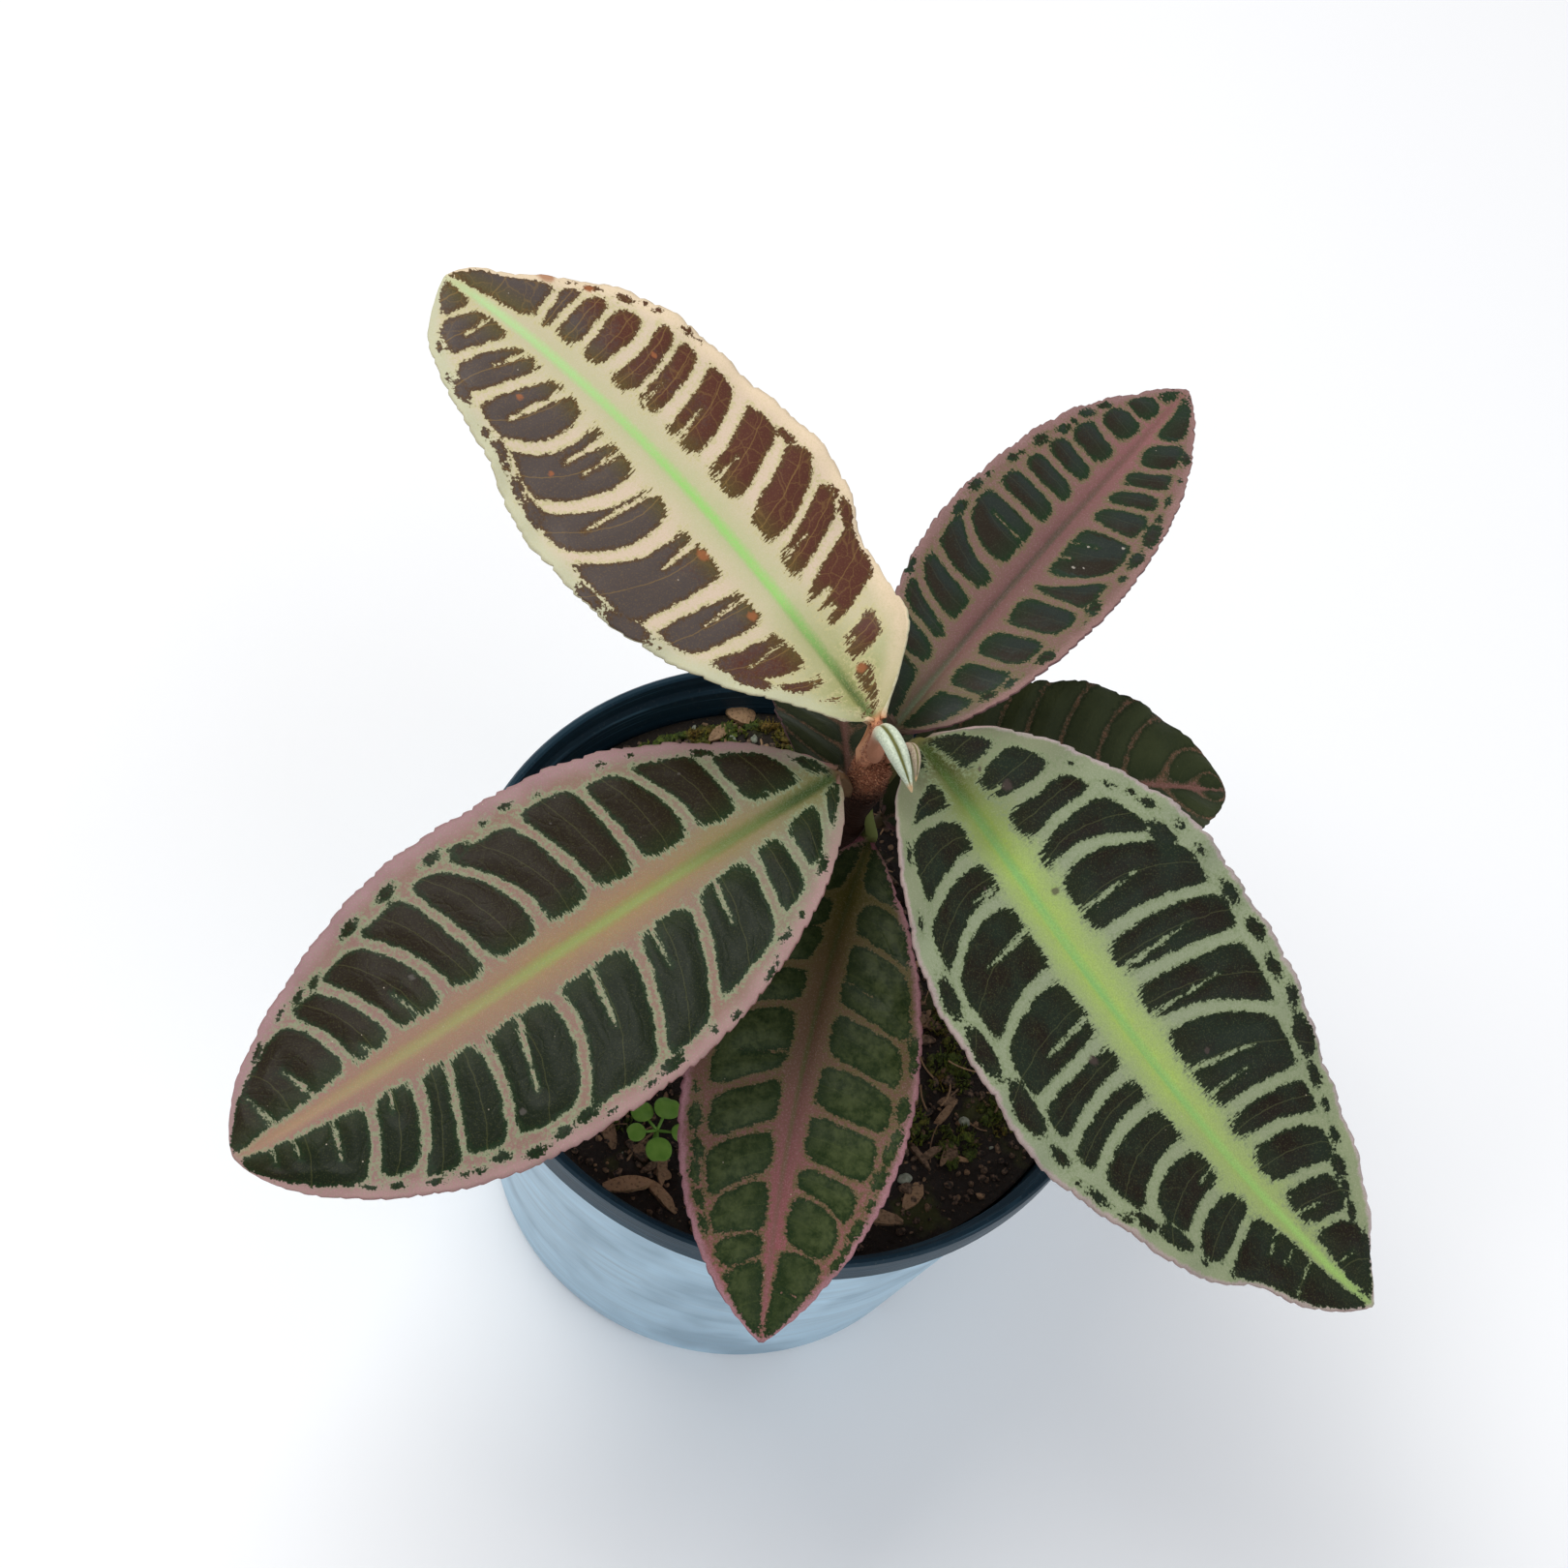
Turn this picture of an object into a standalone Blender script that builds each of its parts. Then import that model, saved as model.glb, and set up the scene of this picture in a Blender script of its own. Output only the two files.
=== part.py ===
"""A potted labisia: a thin plastic nursery pot, its potting mix, one stem and a whorl of patterned leaves.

Lengths in the tables are millimetres and angles are degrees; MM turns lengths into Blender's metres.
The origin is the middle of the pot's underside, +Z is up, and the plant is seen best from -Y.
"""

import math
import random
from dataclasses import dataclass

import bmesh
import bpy
from mathutils import Matrix, Vector, noise

MM = 0.001
GAP = 0.4  # between pieces that touch on the real plant

# Pot
POT_HEIGHT = 70.0
RIM_RADIUS = 52.5
FOOT_RADIUS = 38.5
FOOT_CHAMFER = 0.9
WALL = 1.5
FLOOR = 1.4
LIP_BAND = 5.6  # height of the thicker band round the mouth
LIP_STEP = 1.9  # how far that band stands out of the wall
LIP_LEDGE = 3.0  # depth of the inner ledge under the mouth
LIP_FLAT = 1.4  # width of the top edge
LIP_EDGE = 0.4  # bevels round that edge and under the band
LIP_DRAFT = 0.3  # how much the band narrows downwards
LEDGE_DROP = 0.6  # slope from the ledge into the wall
POT_STEPS = 48
MERGE = 0.01  # points of the turned profile nearer than this become one
DRAIN_HOLES = 6
DRAIN_RADIUS = 3.5
DRAIN_CIRCLE = 25.0
DRAIN_SIDES = 12

# Potting mix
SOIL_LEVEL = 61.5
SOIL_RINGS = 6
SOIL_MIDDLE = 0.6  # radius of the innermost ring, in ring widths
SOIL_ROUGHNESS = 1.5
SOIL_GRAIN = 9.0  # size of the bumps in the surface
SOIL_SLICE = 0.3  # which slice of the noise makes the bumps
SOIL_LEVELLING = 6  # power by which the bumps die out towards the wall
HOLE_RISE = 8.0  # how far a hole's cutter reaches over the mix
CHIPS = 34
CHIP_SEED = 11
CHIP_LENGTH = (4.0, 8.5)
CHIP_WIDTH = (1.6, 3.0)
CHIP_THICKNESS = (1.2, 1.8)
CHIP_FREE_RADIUS = 7.5  # no chips this near the stem
CHIP_CLEAR = 2.0  # and this far from the wall and the seedlings
CHIP_TILT = 0.3  # steepest, radians
CHIP_TAPER = 0.55  # width of one end against the other
CHIP_PROUD = 0.15  # height of its middle over the mix, as a share of its thickness

# Stem: height, centre x, centre y and radius, from below the surface to the crown
STEM = ((47.0, 0.0, 3.0, 2.3), (66.0, 0.1, 3.2, 2.2), (90.0, 0.3, 3.8, 2.1), (108.0, 0.4, 4.2, 2.3),
        (115.0, 0.5, 4.3, 2.9), (121.0, 0.6, 4.4, 2.6))
STEM_SIDES = 12
STEM_ROWS = 26
SCAR = 0.16  # how far a leaf scar stands out
SCAR_EVERY = 4  # rows
STEM_LEAN = 0.3  # extra room in its hole for lean and scars

# Leaf make-up
BLADE = 0.6  # thickness at the margin
KEEL = 1.5  # thickness at the midrib's base
KEEL_TIP = 0.75
KEEL_SPAN = 0.07  # where the keel has run out, as a share of the half-blade
PETIOLE = 1.7  # thickness
PETIOLE_HALF = 0.9  # half its width
TIP_HALF = 0.4
TOOTH = 0.45  # depth of the notches between the teeth
FIRST_TOOTH = 3  # row
SMOOTH_ANGLE = 60.0
SWELL_FADE = 3.0  # a bulge dies out where the outline is under a third of its full width
WAVE_FADE = 8.0  # the waves die out where a half-blade is narrower than this
SPANS = (-1.0, -0.56, -KEEL_SPAN, 0.0, KEEL_SPAN, 0.56, 1.0)
PETIOLE_ROWS = 4
PETIOLE_FADE = 3  # rows over which its thickness runs out into the blade
PETIOLE_INNER = 0.5  # where its inner rows of points run, as a share of half its width
PETIOLE_BEND = 0.16  # how far it follows the blade's direction, as a share of its length
PETIOLE_CLEAR = 0.5  # more than GAP from the stem, for the petiole's own thickness


@dataclass
class Leaf:
    name: str
    stem_z: float  # height of its petiole's root
    stem_bearing: float  # side of the stem it grows from, degrees from +X towards +Y
    base: tuple  # where blade and petiole meet
    heading: tuple  # the midrib's compass direction at base and tip
    rise: tuple  # the midrib's slope at base and tip
    length: float
    widths: tuple  # widest half-blade, left and right as seen from the base
    ends: tuple  # how fast the outline opens at the base and closes at the tip: less is blunter
    fold: tuple  # lift of both half-blades over the midrib, at base and tip
    rows: int
    colour: tuple
    waves: tuple = (2.5, 0.7, 0.0)  # of the margin: how many, how high, phase
    swell_left: tuple = ()  # local bulges of the margin: place 0 to 1, spread, size
    swell_right: tuple = ()
    lift_right: tuple = ()  # local lift of the right margin: place, spread, height


LEAVES = (
    Leaf("leaf_upper_left", 121.3, 172, (-1.5, 4.3, 131), (150, 165), (21, 7), 87, (24, 23), (0.74, 0.69),
         (2, -5), 36, (0.62, 0.55, 0.38), (3.0, 0.8, 40.0),
         swell_left=((0.97, 0.06, 2.0), (0.74, 0.09, -1.7), (0.42, 0.10, 1.2), (0.08, 0.07, -1.2)),
         swell_right=((0.55, 0.16, -1.6), (0.92, 0.06, -1.2), (0.24, 0.05, -1.2)),
         lift_right=(0.10, 0.07, 5.0)),
    Leaf("leaf_upper_right", 112.0, 71, (2.0, 12.5, 119), (71, 72), (11, -12), 84, (15.5, 15), (0.52, 0.76),
         (26, 4), 34, (0.07, 0.10, 0.06), (2.5, 0.5, 200.0)),
    Leaf("leaf_left", 114.0, 222, (-3.8, 0.0, 121), (234, 230), (-6, -19), 100, (25.5, 25), (0.68, 0.64),
         (13, -9), 38, (0.09, 0.11, 0.05), (3.0, 0.7, 120.0)),
    Leaf("leaf_lower_right", 117.0, 22, (5.6, 6.6, 126), (-31, -17), (-20, -23), 106, (28, 28), (0.63, 0.83),
         (16, 5), 38, (0.10, 0.11, 0.05), (3.5, 0.9, 300.0),
         swell_left=((0.62, 0.10, -1.0),),
         swell_right=((0.48, 0.08, 1.2), (0.85, 0.04, -2.2), (0.72, 0.05, 0.6))),
    Leaf("leaf_front", 105.0, -40, (4.2, 2.6, 104), (-92, -74), (-6, -26), 76, (17, 17), (0.90, 0.82),
         (15, 3), 30, (0.08, 0.10, 0.05), (2.0, 0.5, 60.0)),
    Leaf("leaf_right_back", 95.0, 47, (5.1, 9.1, 100), (41, 24), (3, -20), 60, (16.5, 15.5), (0.66, 0.67),
         (13, 10), 26, (0.05, 0.07, 0.03), (2.0, 0.5, 0.0)),
    Leaf("leaf_back_low", 86.0, 102, (-0.3, 14.2, 93), (106, 112), (-2, -40), 44, (11.5, 11.5), (0.60, 0.75),
         (12, 4), 22, (0.05, 0.08, 0.03), (2.0, 0.4, 90.0)),
    Leaf("leaf_left_low", 90.0, 200, (-4.0, 2.2, 95), (205, 214), (6, -24), 62, (14.5, 14.5), (0.66, 0.70),
         (12, 4), 26, (0.06, 0.08, 0.04), (2.0, 0.5, 30.0)),
)

# Young leaves still folded shut: name, path (root, bend, tip), thickest radius, colour
YOUNG_LEAVES = (
    ("young_leaf", ((1.3, 3.6, 121.6), (-3.0, 1.6, 142.6), (6.6, -5.4, 131.4)), 1.55, (0.55, 0.62, 0.48)),
    ("young_leaf_bud", ((2.2, 5.4, 121.6), (4.8, 5.5, 132.8), (6.8, -0.6, 127.0)), 0.7, (0.50, 0.42, 0.30)),
)
YOUNG_SIDES = 12
YOUNG_NECK, YOUNG_TIP = 0.66, 0.45  # radius at either end, against the fullest
YOUNG_OPENS, YOUNG_CLOSES = (0.2, 0.6), (0.72, 1.0)  # where along it the radius grows and shrinks
YOUNG_ROUND = 1.6  # how blunt both ends are
YOUNG_GROOVE = 0.34  # depth of the groove, as a share of the radius
GROOVE_TURN = 0.35  # half its width, radians

# Seedlings that came up in the mix: name, foot x and y, stalk height, leaf radius, leaf bearings
SEEDLINGS = (
    ("seedling_front", -11.0, -34.6, 4.6, 1.75, (10, 85, 150, 215, 290)),
    ("seedling_back", -24.0, 26.5, 3.4, 1.6, (20, 140, 250)),
)
SEEDLING_STALK = 0.45
SEEDLING_SIDE_STALK = 0.33
SEEDLING_SIDES = 10
SEEDLING_LEAF_SIDES = 12
SEEDLING_REACH = 3.2
SEEDLING_ROOT = 3.0
SEEDLING_DROP = 0.7  # of the lowest leaves under the top of the stalk
SEEDLING_STAGGER = 0.5  # between one leaf and the next
SEEDLING_FORK = 0.2  # how far a side stalk starts under its leaf
SEEDLING_TILT = 0.2  # radians


def clear_scene():
    for obj in list(bpy.data.objects):
        bpy.data.objects.remove(obj)


def collection(name):
    made = bpy.data.collections.new(name)
    bpy.context.scene.collection.children.link(made)
    return made


def material(name, colour, roughness):
    made = bpy.data.materials.new(name)
    made.use_nodes = True
    shader = made.node_tree.nodes["Principled BSDF"]
    shader.inputs["Base Color"].default_value = (*colour, 1.0)
    shader.inputs["Roughness"].default_value = roughness
    made.diffuse_color = (*colour, 1.0)
    return made


def add_object(name, bm, into, finish=None):
    mesh = bpy.data.meshes.new(name)
    bm.to_mesh(mesh)
    bm.free()
    obj = bpy.data.objects.new(name, mesh)
    into.objects.link(obj)
    if finish:
        mesh.materials.append(finish)
    return obj


def as_cutter(obj):
    obj.hide_render = True
    obj.display_type = "WIRE"
    return obj


def boolean(obj, operation, other):
    """A live EXACT Boolean of obj with another object or a whole collection."""
    mod = obj.modifiers.new(operation.lower(), "BOOLEAN")
    mod.operation = operation
    mod.solver = "EXACT"
    if isinstance(other, bpy.types.Collection):
        mod.operand_type = "COLLECTION"
        mod.collection = other
    else:
        mod.object = other
    return mod


def apply_modifiers(obj):
    """Keeps what the modifiers make as the object's own mesh."""
    graph = bpy.context.evaluated_depsgraph_get()
    made = bpy.data.meshes.new_from_object(obj.evaluated_get(graph))
    obj.modifiers.clear()
    obj.data = made


def smooth(obj):
    obj.data.shade_smooth()
    obj.data.set_sharp_from_angle(angle=math.radians(SMOOTH_ANGLE))


def cylinder(radius, low, high, x, y, sides, name, into):
    bm = bmesh.new()
    place = Matrix.Translation(Vector((x, y, (low + high) / 2)) * MM)
    bmesh.ops.create_cone(bm, cap_ends=True, segments=sides, radius1=radius * MM, radius2=radius * MM,
                          depth=(high - low) * MM, matrix=place)
    return add_object(name, bm, into)


def mix(a, b, t):
    return a + (b - a) * t


def wall_radius(z):
    """Outer radius of the pot's tapered wall at height z."""
    return mix(FOOT_RADIUS + FOOT_CHAMFER, RIM_RADIUS - LIP_STEP, z / (POT_HEIGHT - LIP_BAND))


def build_pot(parts, cutters):
    """The pot is one turned profile, from its inside floor over the lip to its underside, with drain holes."""
    band_z = POT_HEIGHT - LIP_BAND
    ledge_z = POT_HEIGHT - LIP_LEDGE
    profile = (
        (0.0, FLOOR),
        (wall_radius(FLOOR) - WALL, FLOOR),
        (wall_radius(ledge_z) - WALL, ledge_z - LEDGE_DROP),
        (RIM_RADIUS - LIP_FLAT - LIP_EDGE, ledge_z),
        (RIM_RADIUS - LIP_FLAT, POT_HEIGHT - LIP_EDGE),
        (RIM_RADIUS - LIP_FLAT + LIP_EDGE, POT_HEIGHT),
        (RIM_RADIUS - LIP_EDGE, POT_HEIGHT),
        (RIM_RADIUS, POT_HEIGHT - LIP_EDGE),
        (RIM_RADIUS - LIP_DRAFT, band_z),
        (wall_radius(band_z - LIP_EDGE), band_z - LIP_EDGE),
        (FOOT_RADIUS + FOOT_CHAMFER, FOOT_CHAMFER),
        (FOOT_RADIUS, 0.0),
        (0.0, 0.0),
    )
    bm = bmesh.new()
    points = [bm.verts.new((r * MM, 0.0, z * MM)) for r, z in profile]
    for a, b in zip(points, points[1:]):
        bm.edges.new((a, b))
    pot = add_object("pot", bm, parts, material("black_plastic", (0.02, 0.028, 0.035), 0.38))
    screw = pot.modifiers.new("turned", "SCREW")
    screw.steps = screw.render_steps = POT_STEPS
    screw.use_merge_vertices = True
    screw.merge_threshold = MERGE * MM
    for i in range(DRAIN_HOLES):
        turn = 2 * math.pi * (i + 0.5) / DRAIN_HOLES
        x, y = DRAIN_CIRCLE * math.cos(turn), DRAIN_CIRCLE * math.sin(turn)
        hole = cylinder(DRAIN_RADIUS, -FLOOR, 2 * FLOOR, x, y, DRAIN_SIDES, f"drain_hole_{i + 1}", cutters)
        boolean(pot, "DIFFERENCE", as_cutter(hole))
    return pot


def soil_height(x, y):
    """Height of the mix at a place: rolling bumps that flatten out against the pot's wall."""
    bumps = noise.noise(Vector((x / SOIL_GRAIN, y / SOIL_GRAIN, SOIL_SLICE)))
    edge = 1.0 - (math.hypot(x, y) / soil_radius(SOIL_LEVEL)) ** SOIL_LEVELLING
    return SOIL_LEVEL + SOIL_ROUGHNESS * bumps * max(edge, 0.0)


def soil_radius(z):
    return wall_radius(z) - WALL - GAP


def bark_chip(draw, index, into):
    """A flat splinter of bark, a third sunk into the mix."""
    reach = soil_radius(SOIL_LEVEL) - CHIP_LENGTH[1] / 2 - CHIP_CLEAR
    radius = math.sqrt(draw.uniform(CHIP_FREE_RADIUS**2, reach**2))
    turn = draw.uniform(0, 2 * math.pi)
    x, y = radius * math.cos(turn), radius * math.sin(turn)
    size = [draw.uniform(*span) for span in (CHIP_LENGTH, CHIP_WIDTH, CHIP_THICKNESS)]
    yaw, tilt = draw.uniform(0, math.pi), draw.uniform(-CHIP_TILT, CHIP_TILT)
    if any(math.hypot(x - s[1], y - s[2]) < CHIP_LENGTH[1] / 2 + CHIP_CLEAR for s in SEEDLINGS):
        return
    bm = bmesh.new()
    bmesh.ops.create_cube(bm, size=1.0)
    for vert in bm.verts:
        if vert.co.x > 0:
            vert.co.y *= CHIP_TAPER
    place = Matrix.Translation(Vector((x, y, soil_height(x, y) + CHIP_PROUD * size[2])) * MM)
    turned = Matrix.Rotation(yaw, 4, "Z") @ Matrix.Rotation(tilt, 4, "Y")
    scaled = Matrix.Diagonal((*(side * MM for side in size), 1.0))
    bmesh.ops.transform(bm, matrix=place @ turned @ scaled, verts=bm.verts)
    add_object(f"chip_{index}", bm, into)


def build_potting_mix(parts, cutters):
    """The mix is a tapered plug with a bumpy top, bark chips fused on, and plain holes for what stands in it."""
    low = FLOOR + GAP
    bm = bmesh.new()
    bmesh.ops.create_cone(bm, cap_ends=True, segments=POT_STEPS, radius1=soil_radius(low) * MM,
                          radius2=soil_radius(SOIL_LEVEL) * MM, depth=(SOIL_LEVEL - low) * MM,
                          matrix=Matrix.Translation((0, 0, (SOIL_LEVEL + low) / 2 * MM)))
    top = max(bm.faces, key=lambda face: face.calc_center_median().z)
    ring = soil_radius(SOIL_LEVEL) / (SOIL_RINGS + SOIL_MIDDLE)
    for _ in range(SOIL_RINGS):
        bmesh.ops.inset_region(bm, faces=[top], thickness=ring * MM, use_even_offset=True)
    bmesh.ops.poke(bm, faces=[top])
    for vert in bm.verts:
        if vert.co.z > SOIL_LEVEL / 2 * MM:
            vert.co.z = soil_height(vert.co.x / MM, vert.co.y / MM) * MM
    bmesh.ops.triangulate(bm, faces=bm.faces)
    mix_solid = add_object("potting_mix", bm, parts, material("potting_mix", (0.075, 0.05, 0.03), 0.95))

    chips = collection("chips")
    draw = random.Random(CHIP_SEED)
    for index in range(CHIPS):
        bark_chip(draw, index, chips)
    boolean(mix_solid, "UNION", chips)
    apply_modifiers(mix_solid)
    for chip in list(chips.objects):
        bpy.data.objects.remove(chip)
    bpy.data.collections.remove(chips)

    z, x, y, radius = STEM[0]
    hole_top = SOIL_LEVEL + HOLE_RISE
    hole = cylinder(radius + STEM_LEAN + GAP, z - GAP, hole_top, x, y, STEM_SIDES * 2, "stem_hole", cutters)
    boolean(mix_solid, "DIFFERENCE", as_cutter(hole))
    for name, x, y, *_ in SEEDLINGS:
        hole_low = SOIL_LEVEL - SEEDLING_ROOT - GAP
        hole = cylinder(SEEDLING_STALK + GAP, hole_low, hole_top, x, y, SEEDLING_SIDES, f"{name}_hole", cutters)
        boolean(mix_solid, "DIFFERENCE", as_cutter(hole))
    return mix_solid


def build_stem(parts):
    """One woody stem: a cylinder stretched over the stations of STEM, with a ring of leaf scars now and then."""
    bm = bmesh.new()
    bmesh.ops.create_cone(bm, cap_ends=True, segments=STEM_SIDES, radius1=1.0, radius2=1.0, depth=1.0)
    sides = [edge for edge in bm.edges if abs(edge.verts[0].co.z - edge.verts[1].co.z) > 0.5]
    bmesh.ops.subdivide_edges(bm, edges=sides, cuts=STEM_ROWS - 1)
    for vert in bm.verts:
        share = vert.co.z + 0.5
        z = mix(STEM[0][0], STEM[-1][0], share)
        x, y, radius = stem_at(z)
        scar = SCAR if round(share * STEM_ROWS) % SCAR_EVERY == 1 else 0.0
        vert.co = Vector((x + vert.co.x * (radius + scar), y + vert.co.y * (radius + scar), z)) * MM
    stem = add_object("stem", bm, parts, material("brown_bark", (0.22, 0.10, 0.05), 0.85))
    smooth(stem)
    return stem


def stem_at(z):
    """Centre x, centre y and radius of the stem at height z."""
    for low, high in zip(STEM, STEM[1:]):
        if z <= high[0] or high is STEM[-1]:
            share = (z - low[0]) / (high[0] - low[0])
            return tuple(mix(a, b, share) for a, b in zip(low[1:], high[1:]))


def swell(place, bulges):
    return sum(size * math.exp(-(((place - at) / spread) ** 2)) for at, spread, size in bulges)


def half_width(leaf, place, side):
    """Distance from midrib to margin at a place along the blade, 0 at its base and 1 at its tip."""
    opens, closes = leaf.ends
    widest = opens / (opens + closes)
    shape = (place / widest) ** opens * ((1 - place) / (1 - widest)) ** closes
    bulges = leaf.swell_right if side > 0 else leaf.swell_left
    full = leaf.widths[1 if side > 0 else 0] * shape + swell(place, bulges) * min(1.0, SWELL_FADE * shape)
    return max(full, mix(PETIOLE_HALF, TIP_HALF, place))


def direction(heading, rise):
    h, r = math.radians(heading), math.radians(rise)
    return Vector((math.cos(h) * math.cos(r), math.sin(h) * math.cos(r), math.sin(r)))


def frame_at(leaf, place):
    """Unit vectors at a place along the blade: along it, to its right, and out of its upper face."""
    heading, rise = mix(*leaf.heading, place), mix(*leaf.rise, place)
    along = direction(heading, rise)
    right = direction(heading - 90, 0)
    return along, right, right.cross(along)


def midrib(leaf, rows):
    """Points along the midrib, one for each row of the blade."""
    points = [Vector(leaf.base)]
    for row in range(rows):
        along = frame_at(leaf, (row + 0.5) / rows)[0]
        points.append(points[-1] + along * (leaf.length / rows))
    return points


def petiole_path(leaf, share):
    """Point and direction along the petiole, from the stem's side to the blade."""
    x, y, radius = stem_at(leaf.stem_z)
    out = direction(leaf.stem_bearing, 0)
    if leaf.stem_z >= STEM[-1][0]:
        root = Vector((x, y, leaf.stem_z + GAP + PETIOLE_CLEAR)) + out * (radius - PETIOLE_HALF)
    else:
        root = Vector((x, y, leaf.stem_z)) + out * (radius + PETIOLE_CLEAR + GAP)
    end = Vector(leaf.base)
    bend = end - frame_at(leaf, 0)[0] * (end - root).length * PETIOLE_BEND
    point = root * (1 - share) ** 2 + bend * 2 * share * (1 - share) + end * share**2
    along = (bend - root) * (1 - share) + (end - bend) * share
    return point, along.normalized()


def leaf_point(leaf, spine, row, span):
    """Upper-face point of a blade's row at a span of -1 for the left margin to 1 for the right."""
    place = row / leaf.rows
    side = 1 if span > 0 else -1
    _, right, up = frame_at(leaf, place)
    reach = half_width(leaf, place, side)
    if abs(span) == 1.0 and row % 2 and FIRST_TOOTH <= row < leaf.rows:
        reach = max(reach - TOOTH, TIP_HALF)
    lift_angle = math.radians(mix(*leaf.fold, place))
    count, height, phase = leaf.waves
    wave = height * math.sin(2 * math.pi * count * place + math.radians(phase) * side)
    lift = wave * span**2 * min(1.0, reach / WAVE_FADE)
    if side > 0 and leaf.lift_right:
        lift += swell(place, (leaf.lift_right,)) * span**2
    across = reach * abs(span)
    return spine[row] + right * (side * across * math.cos(lift_angle)) + up * (
        across * math.sin(lift_angle) + lift)


def build_leaf(leaf, parts):
    """Petiole and blade are one strip of a grid, bent by the leaf's own sizes, with a keel under the midrib."""
    all_rows = PETIOLE_ROWS + leaf.rows
    spine = midrib(leaf, leaf.rows)
    bm = bmesh.new()
    bmesh.ops.create_grid(bm, x_segments=all_rows, y_segments=len(SPANS) - 1, size=0.5)
    depth = []
    for vert in bm.verts:
        row = round((vert.co.x + 0.5) * all_rows) - PETIOLE_ROWS
        span = SPANS[round((0.5 - vert.co.y) * (len(SPANS) - 1))]
        if row < 0:
            point, along = petiole_path(leaf, 1 + row / PETIOLE_ROWS)
            right = frame_at(leaf, 0)[1]
            right = (right - along * right.dot(along)).normalized()
            offset = PETIOLE_HALF * (span if abs(span) in (0.0, 1.0) else math.copysign(PETIOLE_INNER, span))
            vert.co = (point + right * offset) * MM
            depth.append(PETIOLE)
            continue
        vert.co = leaf_point(leaf, spine, row, span) * MM
        keel = mix(KEEL, KEEL_TIP, row / leaf.rows) if span == 0.0 else BLADE
        depth.append(mix(PETIOLE, keel, min(1.0, row / PETIOLE_FADE)))
    bmesh.ops.triangulate(bm, faces=bm.faces)
    finish = material(f"{leaf.name}_green", leaf.colour, 0.55)
    obj = add_object(leaf.name, bm, parts, finish)
    weights = obj.vertex_groups.new(name="thickness")
    for index, thick in enumerate(depth):
        weights.add([index], thick / PETIOLE, "REPLACE")
    wall = obj.modifiers.new("blade", "SOLIDIFY")
    wall.thickness = PETIOLE * MM
    wall.offset = -1.0
    wall.vertex_group = "thickness"
    smooth(obj)
    return obj


def ease(span, x):
    """0 before the span and 1 after it, smooth between."""
    t = min(1.0, max(0.0, (x - span[0]) / (span[1] - span[0])))
    return t * t * (3 - 2 * t)


def build_young_leaf(name, path, radius, colour, parts):
    """A leaf still folded shut: a ball drawn out along a bent path, with a groove where its margins meet."""
    root, bend, tip = (Vector(point) for point in path)
    side = (bend - root).cross(tip - bend).normalized()
    bm = bmesh.new()
    bmesh.ops.create_uvsphere(bm, u_segments=YOUNG_SIDES, v_segments=YOUNG_SIDES, radius=1.0)
    for vert in bm.verts:
        share = (1 - vert.co.z) / 2
        centre = root * (1 - share) ** 2 + bend * 2 * share * (1 - share) + tip * share**2
        along = ((bend - root) * (1 - share) + (tip - bend) * share).normalized()
        top = along.cross(side)
        around = math.hypot(vert.co.x, vert.co.y)
        full = mix(YOUNG_NECK, 1.0, ease(YOUNG_OPENS, share)) - (1 - YOUNG_TIP) * ease(YOUNG_CLOSES, share)
        size = radius * full * min(1.0, around * YOUNG_ROUND)
        turn = math.atan2(vert.co.y, vert.co.x)
        groove = 1 - YOUNG_GROOVE * math.exp(-(((turn - math.pi / 2) / GROOVE_TURN) ** 2))
        ring = side * math.cos(turn) + top * math.sin(turn) * groove
        vert.co = (centre + (ring * size if around > 1e-6 else Vector())) * MM
    if bm.calc_volume(signed=True) < 0:
        bmesh.ops.reverse_faces(bm, faces=bm.faces)
    obj = add_object(name, bm, parts, material(f"{name}_silver_green", colour, 0.7))
    smooth(obj)
    return obj


def build_seedling(name, x, y, height, leaf_radius, bearings, parts):
    """A weed seedling: an upright stalk, thin side stalks and round flat leaves, fused into one body."""
    pieces = collection(f"{name}_pieces")
    foot = SOIL_LEVEL - SEEDLING_ROOT
    obj = cylinder(SEEDLING_STALK, foot, SOIL_LEVEL + height, x, y, SEEDLING_SIDES, name, parts)
    for index, bearing in enumerate(bearings):
        out = direction(bearing, 0)
        middle = Vector((x, y, SOIL_LEVEL + height - SEEDLING_DROP + SEEDLING_STAGGER * (index % 2)))
        leaf_at = middle + out * SEEDLING_REACH
        tilt = Matrix.Rotation(SEEDLING_TILT, 4, out.cross((0, 0, 1)))
        bm = bmesh.new()
        bmesh.ops.create_cone(bm, cap_ends=True, segments=SEEDLING_LEAF_SIDES, radius1=leaf_radius * MM,
                              radius2=leaf_radius * MM, depth=BLADE * MM,
                              matrix=Matrix.Translation(leaf_at * MM) @ tilt)
        add_object(f"{name}_leaf_{index}", bm, pieces)
        fork = middle - Vector((0, 0, SEEDLING_FORK))
        lean = Vector((0, 0, 1)).rotation_difference(leaf_at - fork).to_matrix().to_4x4()
        bm = bmesh.new()
        bmesh.ops.create_cone(bm, cap_ends=True, segments=6, radius1=SEEDLING_SIDE_STALK * MM,
                              radius2=SEEDLING_SIDE_STALK * MM, depth=SEEDLING_REACH * MM,
                              matrix=Matrix.Translation((fork + leaf_at) / 2 * MM) @ lean)
        add_object(f"{name}_stalk_{index}", bm, pieces)
    boolean(obj, "UNION", pieces)
    apply_modifiers(obj)
    for piece in list(pieces.objects):
        bpy.data.objects.remove(piece)
    bpy.data.collections.remove(pieces)
    obj.data.materials.clear()
    obj.data.materials.append(material(f"{name}_green", (0.16, 0.45, 0.03), 0.5))
    return obj


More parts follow.
